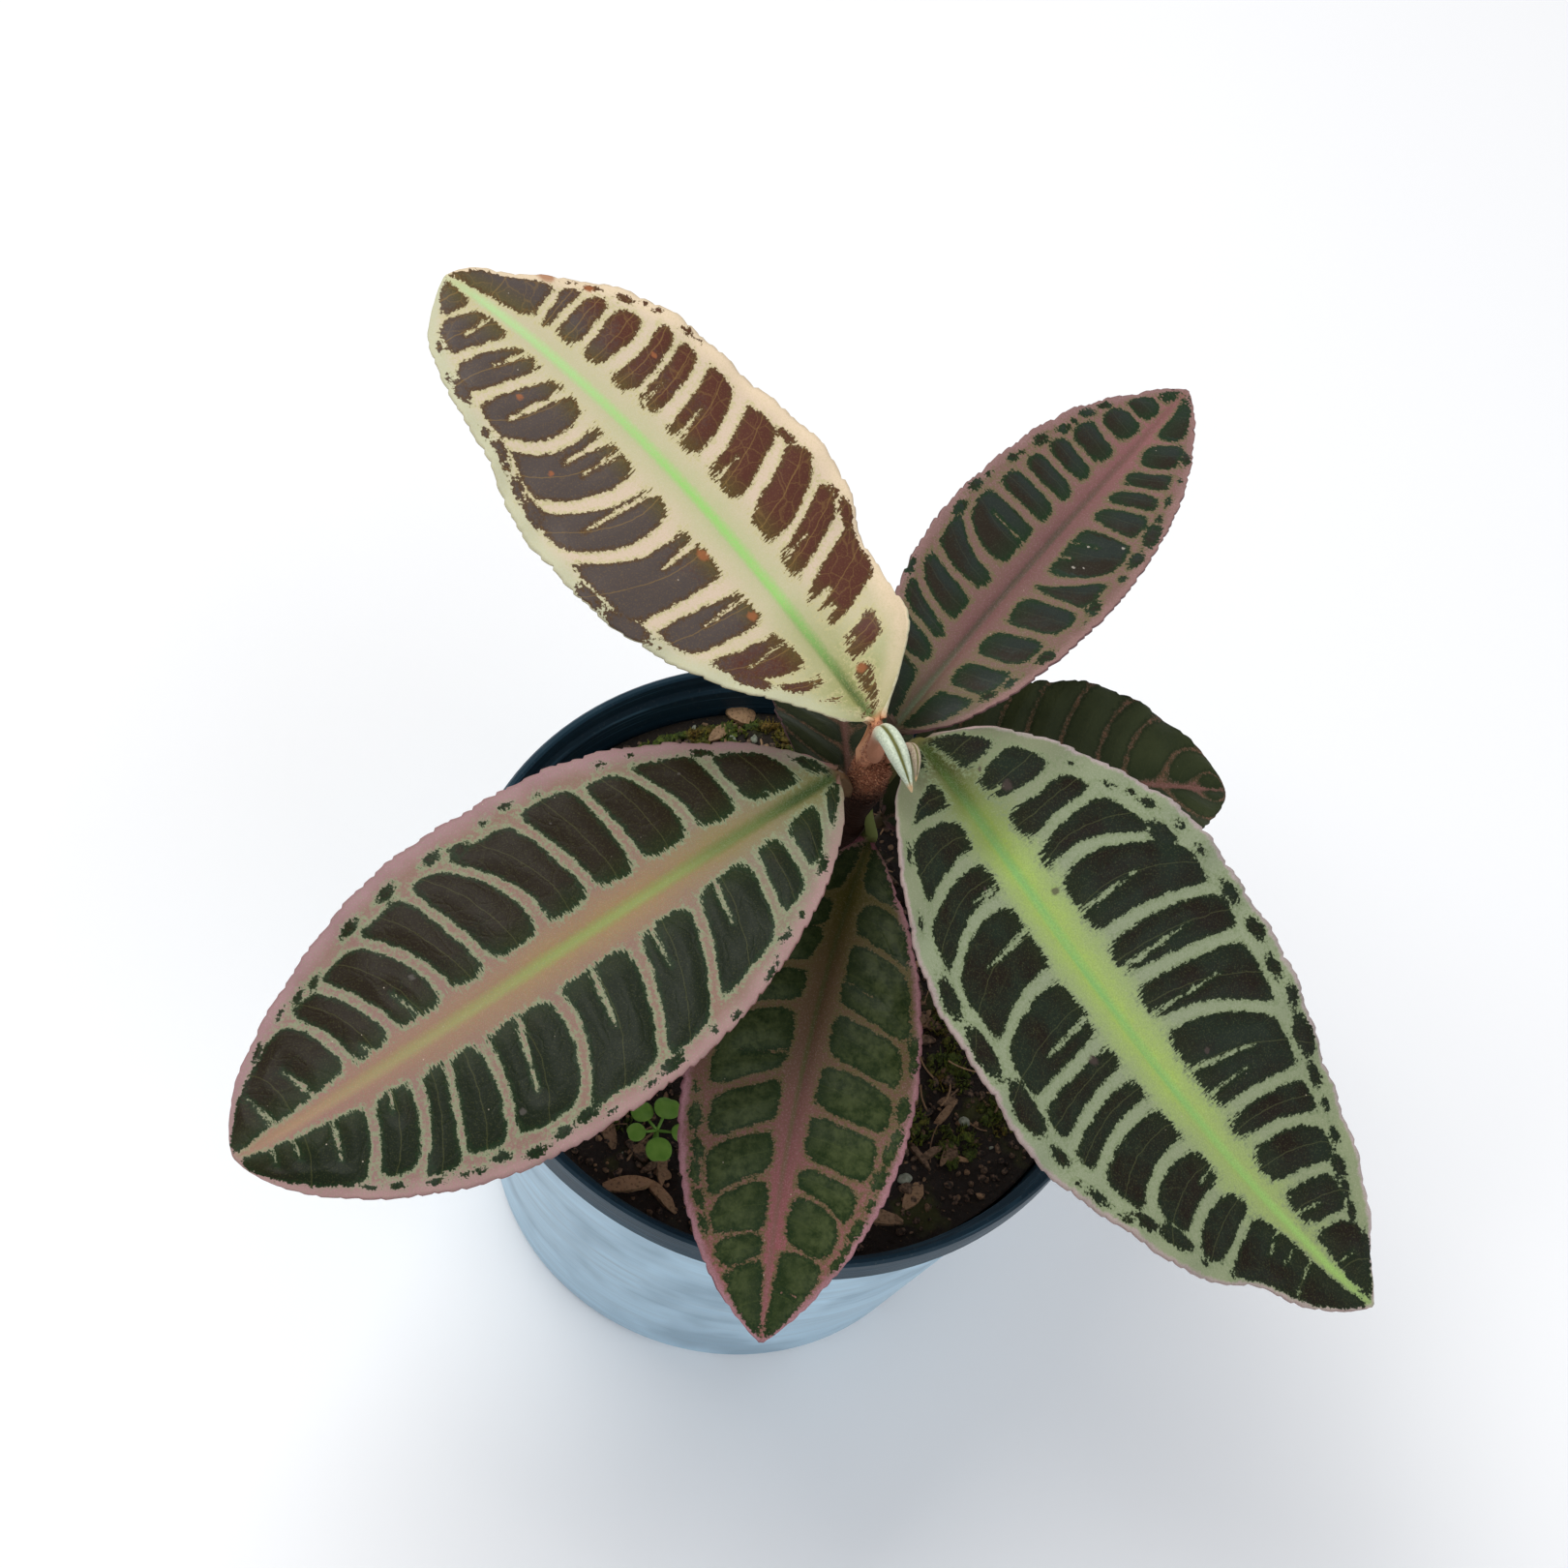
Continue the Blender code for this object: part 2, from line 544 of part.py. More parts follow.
def main():
    clear_scene()
    parts, cutters = collection("potted_labisia"), collection("cutters")
    build_pot(parts, cutters)
    build_potting_mix(parts, cutters)
    build_stem(parts)
    for leaf in LEAVES:
        build_leaf(leaf, parts)
    for name, path, radius, colour in YOUNG_LEAVES:
        build_young_leaf(name, path, radius, colour, parts)
    for seedling in SEEDLINGS:
        build_seedling(*seedling, parts)


main()
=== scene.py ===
# %% [markdown]
# A labisia in its nursery pot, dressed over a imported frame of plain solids. The frame gives the true size
# and place of every piece: thin black pot, potting mix, one woody stem, eight broad leaves, two folded
# young leaves and two seedlings. Each piece is remade here with finer form and a procedural finish, and
# stands for its solid.

# %% Load the frame
import math
import random
from dataclasses import dataclass
from functools import partial

import bmesh
import bpy
import numpy as np
from mathutils import Matrix, Vector, noise


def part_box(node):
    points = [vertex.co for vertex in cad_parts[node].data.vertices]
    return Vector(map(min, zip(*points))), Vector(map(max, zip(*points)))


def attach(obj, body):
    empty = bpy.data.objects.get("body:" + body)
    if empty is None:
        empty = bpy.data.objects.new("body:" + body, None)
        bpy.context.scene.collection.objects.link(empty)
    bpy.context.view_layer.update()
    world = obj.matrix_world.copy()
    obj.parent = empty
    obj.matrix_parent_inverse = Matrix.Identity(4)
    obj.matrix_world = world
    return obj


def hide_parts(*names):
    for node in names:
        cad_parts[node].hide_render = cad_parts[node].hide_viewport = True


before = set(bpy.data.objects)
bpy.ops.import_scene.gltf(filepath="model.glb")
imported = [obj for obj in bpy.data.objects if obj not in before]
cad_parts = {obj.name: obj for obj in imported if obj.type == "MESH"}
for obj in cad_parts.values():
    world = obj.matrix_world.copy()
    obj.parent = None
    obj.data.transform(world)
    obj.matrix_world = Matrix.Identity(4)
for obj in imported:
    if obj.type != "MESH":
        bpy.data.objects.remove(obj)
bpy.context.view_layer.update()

MM = 0.001


# %% [markdown]
# The plant is seen from above and in front, a little rolled. A camera is only three directions and a place,
# so it is worked out from a turn, a lift and a roll about the point it looks at.

# %% The camera
AIM = Vector((-10.5, 28.0, 70.0)) * MM
ELEVATION, ROLL = 57.5, 19.6
DISTANCE = 540 * MM
LENS, SENSOR = 77.93, 36.0


def camera_at(aim, elevation, roll, distance):
    lift, turn = math.radians(elevation), math.radians(roll)
    back = Vector((0, -math.cos(lift), math.sin(lift)))
    right = Vector((1, 0, 0))
    up = back.cross(right)
    right, up = right * math.cos(turn) + up * math.sin(turn), up * math.cos(turn) - right * math.sin(turn)
    pose = Matrix((right, up, back)).transposed().to_4x4()
    pose.translation = aim + back * distance
    return pose


camera = bpy.data.objects.new("camera", bpy.data.cameras.new("camera"))
camera.data.lens, camera.data.sensor_width = LENS, SENSOR
camera.matrix_world = camera_at(AIM, ELEVATION, ROLL, DISTANCE)
bpy.context.scene.collection.objects.link(camera)
bpy.context.scene.camera = camera
print("camera at", [round(c / MM) for c in camera.location], "mm")


# %% [markdown]
# Shader maths reads best as plain sums. A small class wraps a socket, so that + - * on it add Math nodes,
# and one method makes every other node from its type, its settings and its inputs. All patterns are in
# millimetres.

# %% Values and finishes
class Value:
    """A number that varies over a surface, with the arithmetic of plain numbers."""

    def __init__(self, tree, socket):
        self.tree, self.socket = tree, socket

    def math(self, operation, *terms, clamp=False):
        node = self.tree.nodes.new("ShaderNodeMath")
        node.operation, node.use_clamp = operation, clamp
        for socket, term in zip(node.inputs, terms):
            if isinstance(term, Value):
                self.tree.links.new(term.socket, socket)
            else:
                socket.default_value = term
        return Value(self.tree, node.outputs[0])

    def __add__(self, other):
        return self.math("ADD", self, other)

    def __sub__(self, other):
        return self.math("SUBTRACT", self, other)

    def __rsub__(self, other):
        return self.math("SUBTRACT", other, self)

    def __mul__(self, other):
        return self.math("MULTIPLY", self, other)

    __radd__, __rmul__ = __add__, __mul__

    def above(self, edge, softness):
        """0 below the edge and 1 above it, over a ramp of this softness."""
        return self.math("MULTIPLY_ADD", self, 1 / softness, 0.5 - edge / softness, clamp=True)

    def below(self, edge, softness):
        return self.math("MULTIPLY_ADD", self, -1 / softness, 0.5 + edge / softness, clamp=True)

    def size(self):
        return self.math("ABSOLUTE", self)


class Finish:
    """A material under construction: nodes, patterns and colours, ending in its Principled shader."""

    def __init__(self, name):
        self.material = bpy.data.materials.new(name)
        self.material.use_nodes = True
        self.tree = self.material.node_tree
        self.shader = self.tree.nodes["Principled BSDF"]
        place = self.node("ShaderNodeTexCoord", output="Object")
        self.at = self.node("ShaderNodeVectorMath", {"operation": "SCALE"}, output="Vector",
                            Vector=place, Scale=1 / MM)

    def set(self, socket, value):
        if isinstance(value, Value):
            self.tree.links.new(value.socket, socket)
        else:
            socket.default_value = value

    def node(self, kind, settings=(), output=0, ordered=(), **inputs):
        made = self.tree.nodes.new(kind)
        for key, value in dict(settings).items():
            setattr(made, key, value)
        for socket, value in zip(made.inputs, ordered):
            self.set(socket, value)
        for key, value in inputs.items():
            self.set(made.inputs[key.replace("_", " ")], value)
        return Value(self.tree, made.outputs[output])

    def stored(self, name):
        return self.node("ShaderNodeAttribute", {"attribute_name": name}, output="Fac")

    def height(self):
        return self.node("ShaderNodeSeparateXYZ", output="Z", Vector=self.at)

    def stretched(self, x, y, z):
        """The place in millimetres over three sizes, for patterns longer one way than another."""
        return self.node("ShaderNodeVectorMath", {"operation": "MULTIPLY"}, output="Vector",
                         ordered=(self.at, (1 / x, 1 / y, 1 / z)))

    def cloud(self, size, detail=2.0, at=None):
        """Soft noise between about -0.5 and 0.5, with lumps of this size."""
        return self.node("ShaderNodeTexNoise", output="Fac",
                         Vector=at or self.at, Scale=1 / size, Detail=detail) - 0.5

    def net(self, size, at):
        """Distance in millimetres from the lines of an irregular net."""
        cells = self.node("ShaderNodeTexVoronoi", {"feature": "DISTANCE_TO_EDGE"}, output="Distance",
                          Vector=at, Scale=1 / size)
        return cells * size

    def flat(self, x, y):
        """A point of a flat pattern, from two numbers."""
        return self.node("ShaderNodeCombineXYZ", X=x, Y=y)

    def spot(self, at, x, y, radius):
        """1 inside a round spot on the flat pattern at, fading out past its radius."""
        away = self.node("ShaderNodeVectorMath", {"operation": "DISTANCE"}, output="Value",
                         ordered=(at, (x, y, 0)))
        return away.below(radius, radius * 0.6)

    def specks(self, size, share):
        """1 in scattered round dots: one in each cell of this size, where share says how large."""
        return self.node("ShaderNodeTexVoronoi", output="Distance", Vector=self.at,
                         Scale=1 / size).below(share, share / 3)

    def blend(self, factor, a, b):
        """Colour a where the factor is 0 and b where it is 1."""
        made = self.tree.nodes.new("ShaderNodeMix")
        made.data_type = "RGBA"
        for socket, value in zip((made.inputs[0], made.inputs[6], made.inputs[7]), (factor, a, b)):
            self.set(socket, (*value, 1.0) if isinstance(value, tuple) else value)
        return Value(self.tree, made.outputs[2])

    def coats(self, colour, *coats):
        """The colour with more colours laid over it, each where its mask is 1."""
        for mask, coat in coats:
            colour = self.blend(mask, colour, coat)
        return colour

    def finish(self, colour, roughness, height=None, **constants):
        """Height is the relief in millimetres; a constant goes straight to its own socket."""
        self.set(self.shader.inputs["Base Color"], colour)
        self.set(self.shader.inputs["Roughness"], roughness)
        if height is not None:
            bump = self.node("ShaderNodeBump", output="Normal", Height=height, Distance=MM, Strength=1.0)
            self.set(self.shader.inputs["Normal"], bump)
        for key, value in constants.items():
            self.shader.inputs[key.replace("_", " ")].default_value = value
        return self.material


# %% [markdown]
# Plain soft studio light: a pale world, one large key high on the left and a weaker fill from the front
# right. The floor is pale and only carries the pot.

# %% Light and floor
# name, place and size in metres, watts and colour
LIGHTS = (("key", (-0.45, 0.15, 0.95), 0.55, 6.5, (1.0, 0.985, 0.96)),
          ("fill", (0.75, -0.45, 0.75), 0.8, 3.4, (0.95, 0.98, 1.0)))
SKY, SKY_STRENGTH = (0.93, 0.95, 1.0, 1.0), 0.53
FLOOR_REACH = 3.0


def add_object(name, bm, *finishes):
    mesh = bpy.data.meshes.new(name)
    bm.to_mesh(mesh)
    bm.free()
    obj = bpy.data.objects.new(name, mesh)
    for finish in finishes:
        mesh.materials.append(finish)
    bpy.context.scene.collection.objects.link(obj)
    return obj


def soft_light(name, at, size, power, colour):
    lamp = bpy.data.lights.new(name, "AREA")
    lamp.size, lamp.energy, lamp.color = size, power, colour
    obj = bpy.data.objects.new(name, lamp)
    obj.location = at
    obj.rotation_euler = (AIM - Vector(at)).to_track_quat("-Z", "Y").to_euler()
    bpy.context.scene.collection.objects.link(obj)


for light in LIGHTS:
    soft_light(*light)
world = bpy.data.worlds.new("studio")
world.use_nodes = True
background = world.node_tree.nodes["Background"]
background.inputs["Color"].default_value = SKY
background.inputs["Strength"].default_value = SKY_STRENGTH
bpy.context.scene.world = world
bpy.context.scene.view_settings.view_transform = "Standard"

pale = Finish("pale_floor")
floor_bm = bmesh.new()
bmesh.ops.create_grid(floor_bm, x_segments=1, y_segments=1, size=FLOOR_REACH)
floor_tone = pale.blend(pale.cloud(180.0) + 0.5, (0.93, 0.93, 0.935), (0.96, 0.96, 0.96))
floor = add_object("floor", floor_bm, pale.finish(floor_tone, 0.7))
print(len(LIGHTS), "lights, floor", 2 * FLOOR_REACH, "m across")


# %% [markdown]
# Every leaf is one thin strip: a petiole that widens into a blade folded up a little along its midrib. Its
# form follows from a few sizes: where the blade starts, its compass heading and slope at base and tip, its
# length, the widest half-blades and how bluntly they open and close. These are the sizes of the solids in
# the frame.

# %% The leaves' sizes
BLADE, KEEL, KEEL_TIP = 0.45, 1.5, 0.7
PETIOLE, PETIOLE_HALF, TIP_HALF = 1.7, 0.9, 0.3
PETIOLE_BEND = 0.16
STEM = ((47.0, 0.0, 3.0, 2.3), (66.0, 0.1, 3.2, 2.2), (90.0, 0.3, 3.8, 2.1), (108.0, 0.4, 4.2, 2.3),
        (115.0, 0.5, 4.3, 2.9), (121.0, 0.6, 4.4, 2.6))


@dataclass
class Leaf:
    name: str
    stem_z: float
    stem_bearing: float
    base: tuple
    heading: tuple
    rise: tuple
    length: float
    widths: tuple
    ends: tuple
    fold: tuple
    waves: tuple
    swell_left: tuple = ()
    swell_right: tuple = ()
    lift_right: tuple = ()
    rib: tuple = (0.0, 0.0)  # where the midrib runs, as a share of the half-blade, at base and tip


LEAVES = (
    Leaf("leaf_upper_left", 121.3, 172, (-1.5, 4.3, 131), (150, 165), (21, 7), 87, (24, 23), (0.74, 0.69),
         (2, -5), (3.0, 0.8, 40.0),
         swell_left=((0.97, 0.06, 2.0), (0.74, 0.09, -1.7), (0.42, 0.10, 1.2), (0.08, 0.07, -1.2)),
         swell_right=((0.55, 0.16, -1.6), (0.92, 0.06, -1.2), (0.24, 0.05, -1.2)),
         lift_right=(0.10, 0.07, 5.0), rib=(-0.05, 0.06)),
    Leaf("leaf_upper_right", 112.0, 71, (2.0, 12.5, 119), (71, 72), (11, -12), 84, (15.5, 15), (0.52, 0.76),
         (26, 4), (2.5, 0.5, 200.0), rib=(-0.04, 0.02)),
    Leaf("leaf_left", 114.0, 222, (-3.8, 0.0, 121), (234, 230), (-6, -19), 100, (25.5, 25), (0.68, 0.64),
         (13, -9), (3.0, 0.7, 120.0), rib=(0.03, -0.05)),
    Leaf("leaf_lower_right", 117.0, 22, (5.6, 6.6, 126), (-31, -17), (-20, -23), 106, (28, 28),
         (0.63, 0.83), (16, 5), (3.5, 0.9, 300.0),
         swell_left=((0.62, 0.10, -1.0),),
         swell_right=((0.48, 0.08, 1.2), (0.85, 0.04, -2.2), (0.72, 0.05, 0.6)), rib=(-0.07, 0.10)),
    Leaf("leaf_front", 110.0, -40, (4.2, 2.6, 104), (-92, -74), (-6, -26), 76, (17, 17), (0.90, 0.82),
         (15, 3), (2.0, 0.5, 60.0)),
    Leaf("leaf_right_back", 95.0, 47, (5.1, 9.1, 100), (41, 24), (3, -20), 60, (16.5, 15.5), (0.66, 0.67),
         (13, 10), (2.0, 0.5, 0.0), rib=(0.0, 0.06)),
    Leaf("leaf_back_low", 86.0, 102, (-0.3, 14.2, 93), (106, 112), (-2, -40), 44, (11.5, 11.5),
         (0.60, 0.75), (12, 4), (2.0, 0.4, 90.0)),
    Leaf("leaf_left_low", 90.0, 200, (-4.0, 2.2, 95), (205, 214), (6, -24), 62, (14.5, 14.5), (0.66, 0.70),
         (12, 4), (2.0, 0.5, 30.0)),
)
for leaf in LEAVES:
    low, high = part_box(leaf.name)
    print(f"{leaf.name}: blade {leaf.length} by {sum(leaf.widths)} mm, top at {high.z / MM:.0f} mm")


# %% [markdown]
# The form of a blade is a formula of two numbers: place, from 0 at the base to 1 at the tip, and span, from
# -1 at the left margin to 1 at the right. NumPy works it out for all points at once.

# %% The form of a blade
SPINE_STEPS = 400
SWELL_FADE = 3.0  # how soon a bulge gives way where the blade narrows to nothing


def mix(a, b, t):
    return a + (b - a) * t


def direction(heading, rise):
    h, r = np.radians(heading), np.radians(rise)
    return np.stack([np.cos(h) * np.cos(r), np.sin(h) * np.cos(r), np.sin(r) + 0 * h], axis=-1)


def swell(place, bulges):
    return sum(size * np.exp(-(((place - at) / spread) ** 2)) for at, spread, size in bulges)


def half_width(leaf, place, right):
    """Distance from the middle to the margin, for the right half where right is true."""
    opens, closes = leaf.ends
    widest = opens / (opens + closes)
    shape = (place / widest) ** opens * ((1 - place) / (1 - widest)) ** closes
    bulge = np.where(right, swell(place, leaf.swell_right), swell(place, leaf.swell_left))
    half = np.where(right, leaf.widths[1], leaf.widths[0]) * shape
    full = half + bulge * np.minimum(1.0, SWELL_FADE * shape)
    return np.maximum(full, mix(PETIOLE_HALF, TIP_HALF, place))


def frame_at(leaf, place):
    """Directions along the blade, to its right, and out of its upper face."""
    heading = mix(*leaf.heading, place)
    along = direction(heading, mix(*leaf.rise, place))
    right = direction(heading - 90, 0.0)
    return along, right, np.cross(right, along)


def spine_at(leaf, place):
    """Points along the middle of the blade."""
    middles = (np.arange(SPINE_STEPS) + 0.5) / SPINE_STEPS
    steps = frame_at(leaf, middles)[0] * (leaf.length / SPINE_STEPS)
    points = np.vstack([np.zeros(3), np.cumsum(steps, axis=0)]) + np.array(leaf.base)
    shares = np.linspace(0, 1, SPINE_STEPS + 1)
    return np.stack([np.interp(place, shares, points[:, axis]) for axis in range(3)], axis=-1)


def stem_at(z):
    """Centre x, centre y and radius of the stem at height z."""
    heights = [row[0] for row in STEM]
    return tuple(np.interp(z, heights, [row[column] for row in STEM]) for column in (1, 2, 3))


def bent(root, bend, tip, share):
    """A point on the curve from root to tip that bend pulls aside, and the way the curve runs there."""
    rest = 1 - share
    at = root * rest**2 + bend * 2 * share * rest + tip * share**2
    return at, (bend - root) * rest + (tip - bend) * share


print("spine of", LEAVES[0].name, "ends at", np.round(spine_at(LEAVES[0], np.array([1.0])), 1), "mm")


# %% [markdown]
# The pattern is the plant's fame: dark patches between pale veins that leave the midrib and arch towards
# the tip. Each vein is written as the places where it crosses three rulers, at 20, 50 and 80 percent of the
# way from midrib to margin, then how far out the patch beyond it reaches, and how wide the vein is against
# its neighbours. A streak is a pale vein that dies out inside a patch: its place at the midrib side, at its
# end, and the span it reaches. An island is a dark dot near the margin: place, span and length in
# millimetres. All were read off one by one.

# %% The veins of each leaf
@dataclass
class Half:
    inner: tuple  # where the patches begin, as a share of the half-blade, at base and tip
    first: float  # reach of the patch before the first vein, percent
    veins: tuple
    streaks: tuple = ()
    islands: tuple = ()


VEINS = {
    "leaf_upper_left": (1.05, Half((0.27, 0.09), 60, (
        (5, 4.5, 7, 77, 1), (8.5, 8.5, 9.5, 80, 1), (13, 13, 16, 87, 0.9), (22.5, 23, 25, 88, 1),
        (31.5, 33, 34.5, 90, 1.1), (45.5, 45.5, 50.5, 88, 1.1), (54, 56, 62, 82, 1.1),
        (67, 68, 73.5, 83, 0.9), (77.5, 80, 82.5, 85, 0.8), (85, 88, 89.5, 78, 0.6),
        (93.5, 95, 96, 70, 0.3)),
        ((19, 19, 70, 0.3), (28.5, 29, 60, 0.3), (40.8, 40.5, 48, 0.9), (51, 54, 70, 0.5),
         (59.5, 61, 45, 0.5), (62.5, 64.5, 50, 1.0), (72.5, 76, 66, 1.0), (81.5, 84, 45, 0.6),
         (90, 91, 50, 0.4)),
        ((17, 83, 5), (37, 95, 8), (45, 96, 5), (31, 95, 1), (62, 87, 5), (67, 87, 3.5), (70.5, 88, 2),
         (73.5, 87, 4), (77, 90, 2.2), (85, 86, 4), (88, 92, 1.6), (93, 85, 1.8))),
     Half((0.20, 0.17), 50, (
        (9.5, 9.5, 10, 72, 0.3), (14.5, 15.5, 17, 95, 1), (24, 26, 28, 84, 1), (31.5, 32.7, 36, 85, 0.6),
        (39.5, 41.5, 44, 84, 1), (49.5, 50.5, 53, 87, 1), (59, 59.5, 61, 86, 0.9), (65, 65, 66.5, 87, 0.35),
        (71, 70.3, 71.2, 81, 0.9), (76.3, 76.8, 77.5, 82, 0.5), (81.5, 82, 82, 86, 0.4),
        (84.5, 85, 86, 84, 0.5)),
        ((18, 18.5, 38, 1.6), (20.5, 21, 45, 1.2), (29.3, 30, 50, 0.3), (46, 46.5, 45, 0.5),
         (55, 56, 52, 0.7), (63, 63.2, 50, 0.35), (12, 12.5, 40, 0.8)),
        ((28.5, 90, 4.5), (32.5, 87, 2), (40, 84, 3), (44, 84, 3), (64, 95, 1.2), (66.5, 94, 2),
         (72, 94, 1.7), (74, 95, 1), (77, 90, 2.7), (82, 90, 2.2), (85, 93, 1.6)))),
    "leaf_upper_right": (0.75, Half((0.22, 0.13), 88, (
        (11, 11.3, 11, 93, 0.5), (16.5, 17, 17.5, 90, 0.7), (21.3, 21.5, 23.5, 86, 1),
        (29, 29, 30, 86, 0.9), (36, 36.2, 40, 81, 1.3), (48.8, 49, 49.2, 80, 1), (55.5, 56, 56.2, 77, 0.9),
        (61.8, 62.2, 62.8, 76, 0.9), (68, 68.5, 69.7, 74, 0.8), (76, 76.5, 79, 75, 1),
        (84.7, 85, 86, 80, 0.5), (92, 92.5, 93, 75, 0.4)),
        ((43.8, 44.2, 60, 0.25),),
        ((24, 96, 3), (40, 88, 3.5), (46, 92, 3.3), (50, 92, 1.4), (56.5, 88, 2.2), (59, 87, 1),
         (64, 85, 3.2), (70, 81, 3), (73, 83, 1.2), (77, 84, 3.2), (82, 86, 2.2))),
     Half((0.19, 0.17), 78, (
        (11, 11.2, 11.8, 78, 0.8), (18.5, 19, 20, 77, 0.9), (26.8, 27.5, 28.7, 80, 1),
        (35.8, 36.2, 36.8, 80, 0.9), (40, 42.2, 47.5, 77, 1.3), (56, 56, 56.5, 76, 0.9),
        (61.7, 63.3, 64.2, 76, 0.8), (67.3, 69, 70.2, 76, 0.8), (73.8, 75, 78.5, 78, 0.8),
        (82.5, 84, 87.5, 78, 0.5)),
        ((46, 46.5, 30, 0.4), (50, 51.5, 45, 0.3)),
        ((13, 82, 2.2), (17, 84, 2.2), (24.5, 88, 3.5), (34.5, 90, 1), (38.5, 85, 3), (48, 87, 1.6),
         (53, 87, 4.2), (59.5, 87, 5.5), (64, 84, 2), (69, 84, 2.2), (76, 88, 1), (82, 86, 3.2)))),
    "leaf_left": (0.8, Half((0.21, 0.15), 76, (
        (5, 5.5, 8.5, 77, 1), (12, 12.7, 13.5, 80, 1), (18, 19, 21, 83, 1), (28.5, 30.5, 34.5, 88, 1.1),
        (39, 40.5, 44, 87, 1.1), (52, 52.5, 56.5, 81, 1.1), (63.7, 64.5, 67.5, 81, 0.9),
        (69, 71.5, 74, 86, 0.55), (74, 76, 80, 80, 0.9), (81, 83, 86, 84, 0.8)),
        ((24.3, 26, 51, 0.9), (35.5, 36.5, 46, 0.7), (45.6, 47.3, 54, 1.1), (57.5, 61, 61, 1.0),
         (77.5, 78.7, 32, 0.5), (86, 88, 55, 0.6), (92, 92.5, 45, 0.3), (95, 95.7, 50, 0.25)),
        ((11, 85, 3), (18, 90, 1), (22, 90, 2.2), (24.5, 94, 1), (26.5, 97, 2.2), (33.5, 96, 1.7),
         (37, 93, 1.2), (44.5, 92, 4), (48, 94, 2), (54.5, 95, 1.7), (57.5, 88, 3.6), (61, 90, 3.2),
         (65.5, 93, 3.3), (70, 87, 2.6), (73.5, 91, 1.6), (75.2, 90, 1.6), (79, 91, 2.2), (83.5, 88, 1.7),
         (86.5, 87, 1.7))),
     Half((0.20, 0.10), 84, (
        (4, 4.5, 6, 83, 0.9), (14, 14.5, 15, 84, 0.9), (22.2, 22.5, 25.5, 81, 1),
        (31.2, 31.5, 32.6, 83, 0.9), (38.7, 40, 42.5, 80, 1), (47.5, 48.8, 55, 80, 1.1),
        (56.5, 58.5, 61, 79, 0.9), (63.7, 66, 71, 78, 1.1), (72.7, 75, 79, 79, 0.9),
        (80.2, 81.5, 84.7, 82, 0.8)),
        ((68.5, 70, 36, 0.5), (76.5, 77.5, 22, 0.4), (86.5, 88.3, 50, 0.9), (93, 94.5, 72, 0.8),
         (10, 10.3, 26, 0.5)),
        ((14.7, 86, 3), (23.5, 93, 1.3), (28, 90, 1.6), (37.5, 87, 1), (42, 90, 2), (46, 88, 1.7),
         (51, 82, 3.5), (55, 86, 3.2), (63, 86, 3.2), (70, 86, 3.2), (78, 80, 2.4), (81, 83, 2.6),
         (84.5, 87, 1.6), (90, 86, 2.2)))),
    "leaf_lower_right": (0.92, Half((0.19, 0.11), 76, (
        (7.7, 7, 6.5, 79, 0.7), (13.5, 14, 13.7, 78, 1.1), (20.5, 19.5, 20, 79, 0.9),
        (25.5, 25.5, 31, 86, 1.1), (36.5, 37.5, 40.7, 86, 1.1), (43.7, 45.7, 48.7, 82, 1.1),
        (51, 54.5, 61, 78, 1.1), (66, 67.5, 70.2, 78, 1), (71.5, 73.5, 77.7, 76, 1), (79, 81, 84, 66, 0.9),
        (86.5, 88, 90.5, 80, 0.6)),
        ((11, 11.3, 34, 0.6), (31.5, 32, 56, 0.8), (41.2, 42.7, 62, 0.8), (48.7, 51, 60, 0.6),
         (58, 62, 58, 0.9), (62.3, 63.5, 45, 0.5), (83, 84.5, 38, 0.3), (92, 93, 50, 0.3)),
        ((14.5, 86, 1.2), (20, 85, 2), (23, 90, 1.4), (25.5, 90, 2.6), (30.5, 81, 6), (31, 92, 2),
         (36, 91, 2.2), (43.5, 91, 4.5), (50, 92, 4.4), (56, 90, 4.2), (61, 92, 4), (66.5, 90, 7),
         (72, 87, 4.2), (76, 86, 2), (80, 83, 2.6), (83, 74, 4), (86, 73, 2.6), (89, 70, 3),
         (94.5, 78, 5))),
     Half((0.18, 0.17), 45, (
        (4.5, 5, 7.5, 77, 1), (10.5, 9.2, 9, 81, 0.7), (16.8, 16.5, 18.5, 84, 1), (23.5, 23, 26.5, 79, 1),
        (35.2, 35, 37.5, 78, 1), (46, 45.5, 45.5, 78, 1), (51.5, 51, 52.5, 81, 1), (57, 56, 57.5, 82, 1),
        (64.5, 63.5, 66, 74, 1), (72, 71.5, 73.5, 82, 1), (77.5, 78, 79, 92, 0.7)),
        ((21.5, 21, 42, 0.6), (28.5, 28.6, 57, 0.9), (42.5, 42, 55, 0.9), (69, 69, 34, 0.3),
         (82, 83, 50, 0.3), (85.5, 85.5, 52, 0.3), (88.5, 89.2, 78, 0.4)),
        ((10.5, 87, 1.6), (18.5, 91, 1.3), (28, 90, 6), (35.5, 90, 8), (44.5, 86, 9), (52, 87, 4),
         (59, 92, 3.7), (56, 93, 1), (63.5, 93, 2.2), (66, 86, 4.5), (70.5, 81, 6), (76, 85, 1.7)))),
    "leaf_front": (0.55, Half((0.22, 0.09), 90, (
        (13, 13, 14.5, 92, 0.9), (21.5, 22.5, 25, 88, 0.9), (35.5, 37.5, 40, 83, 0.9),
        (46, 47.5, 50, 80, 1), (56, 57.5, 59, 77, 0.9), (66, 67.5, 69.5, 75, 1), (72, 74, 79, 73, 0.6),
        (82, 83.5, 85, 80, 0.3)),
        ((30, 32, 50, 0.3), (90, 91, 60, 0.25)),
        ((40, 92, 3), (43.5, 94, 2.5), (52.5, 89, 3.8), (58, 90, 3.2), (62, 87, 3.2), (67, 87, 3.7),
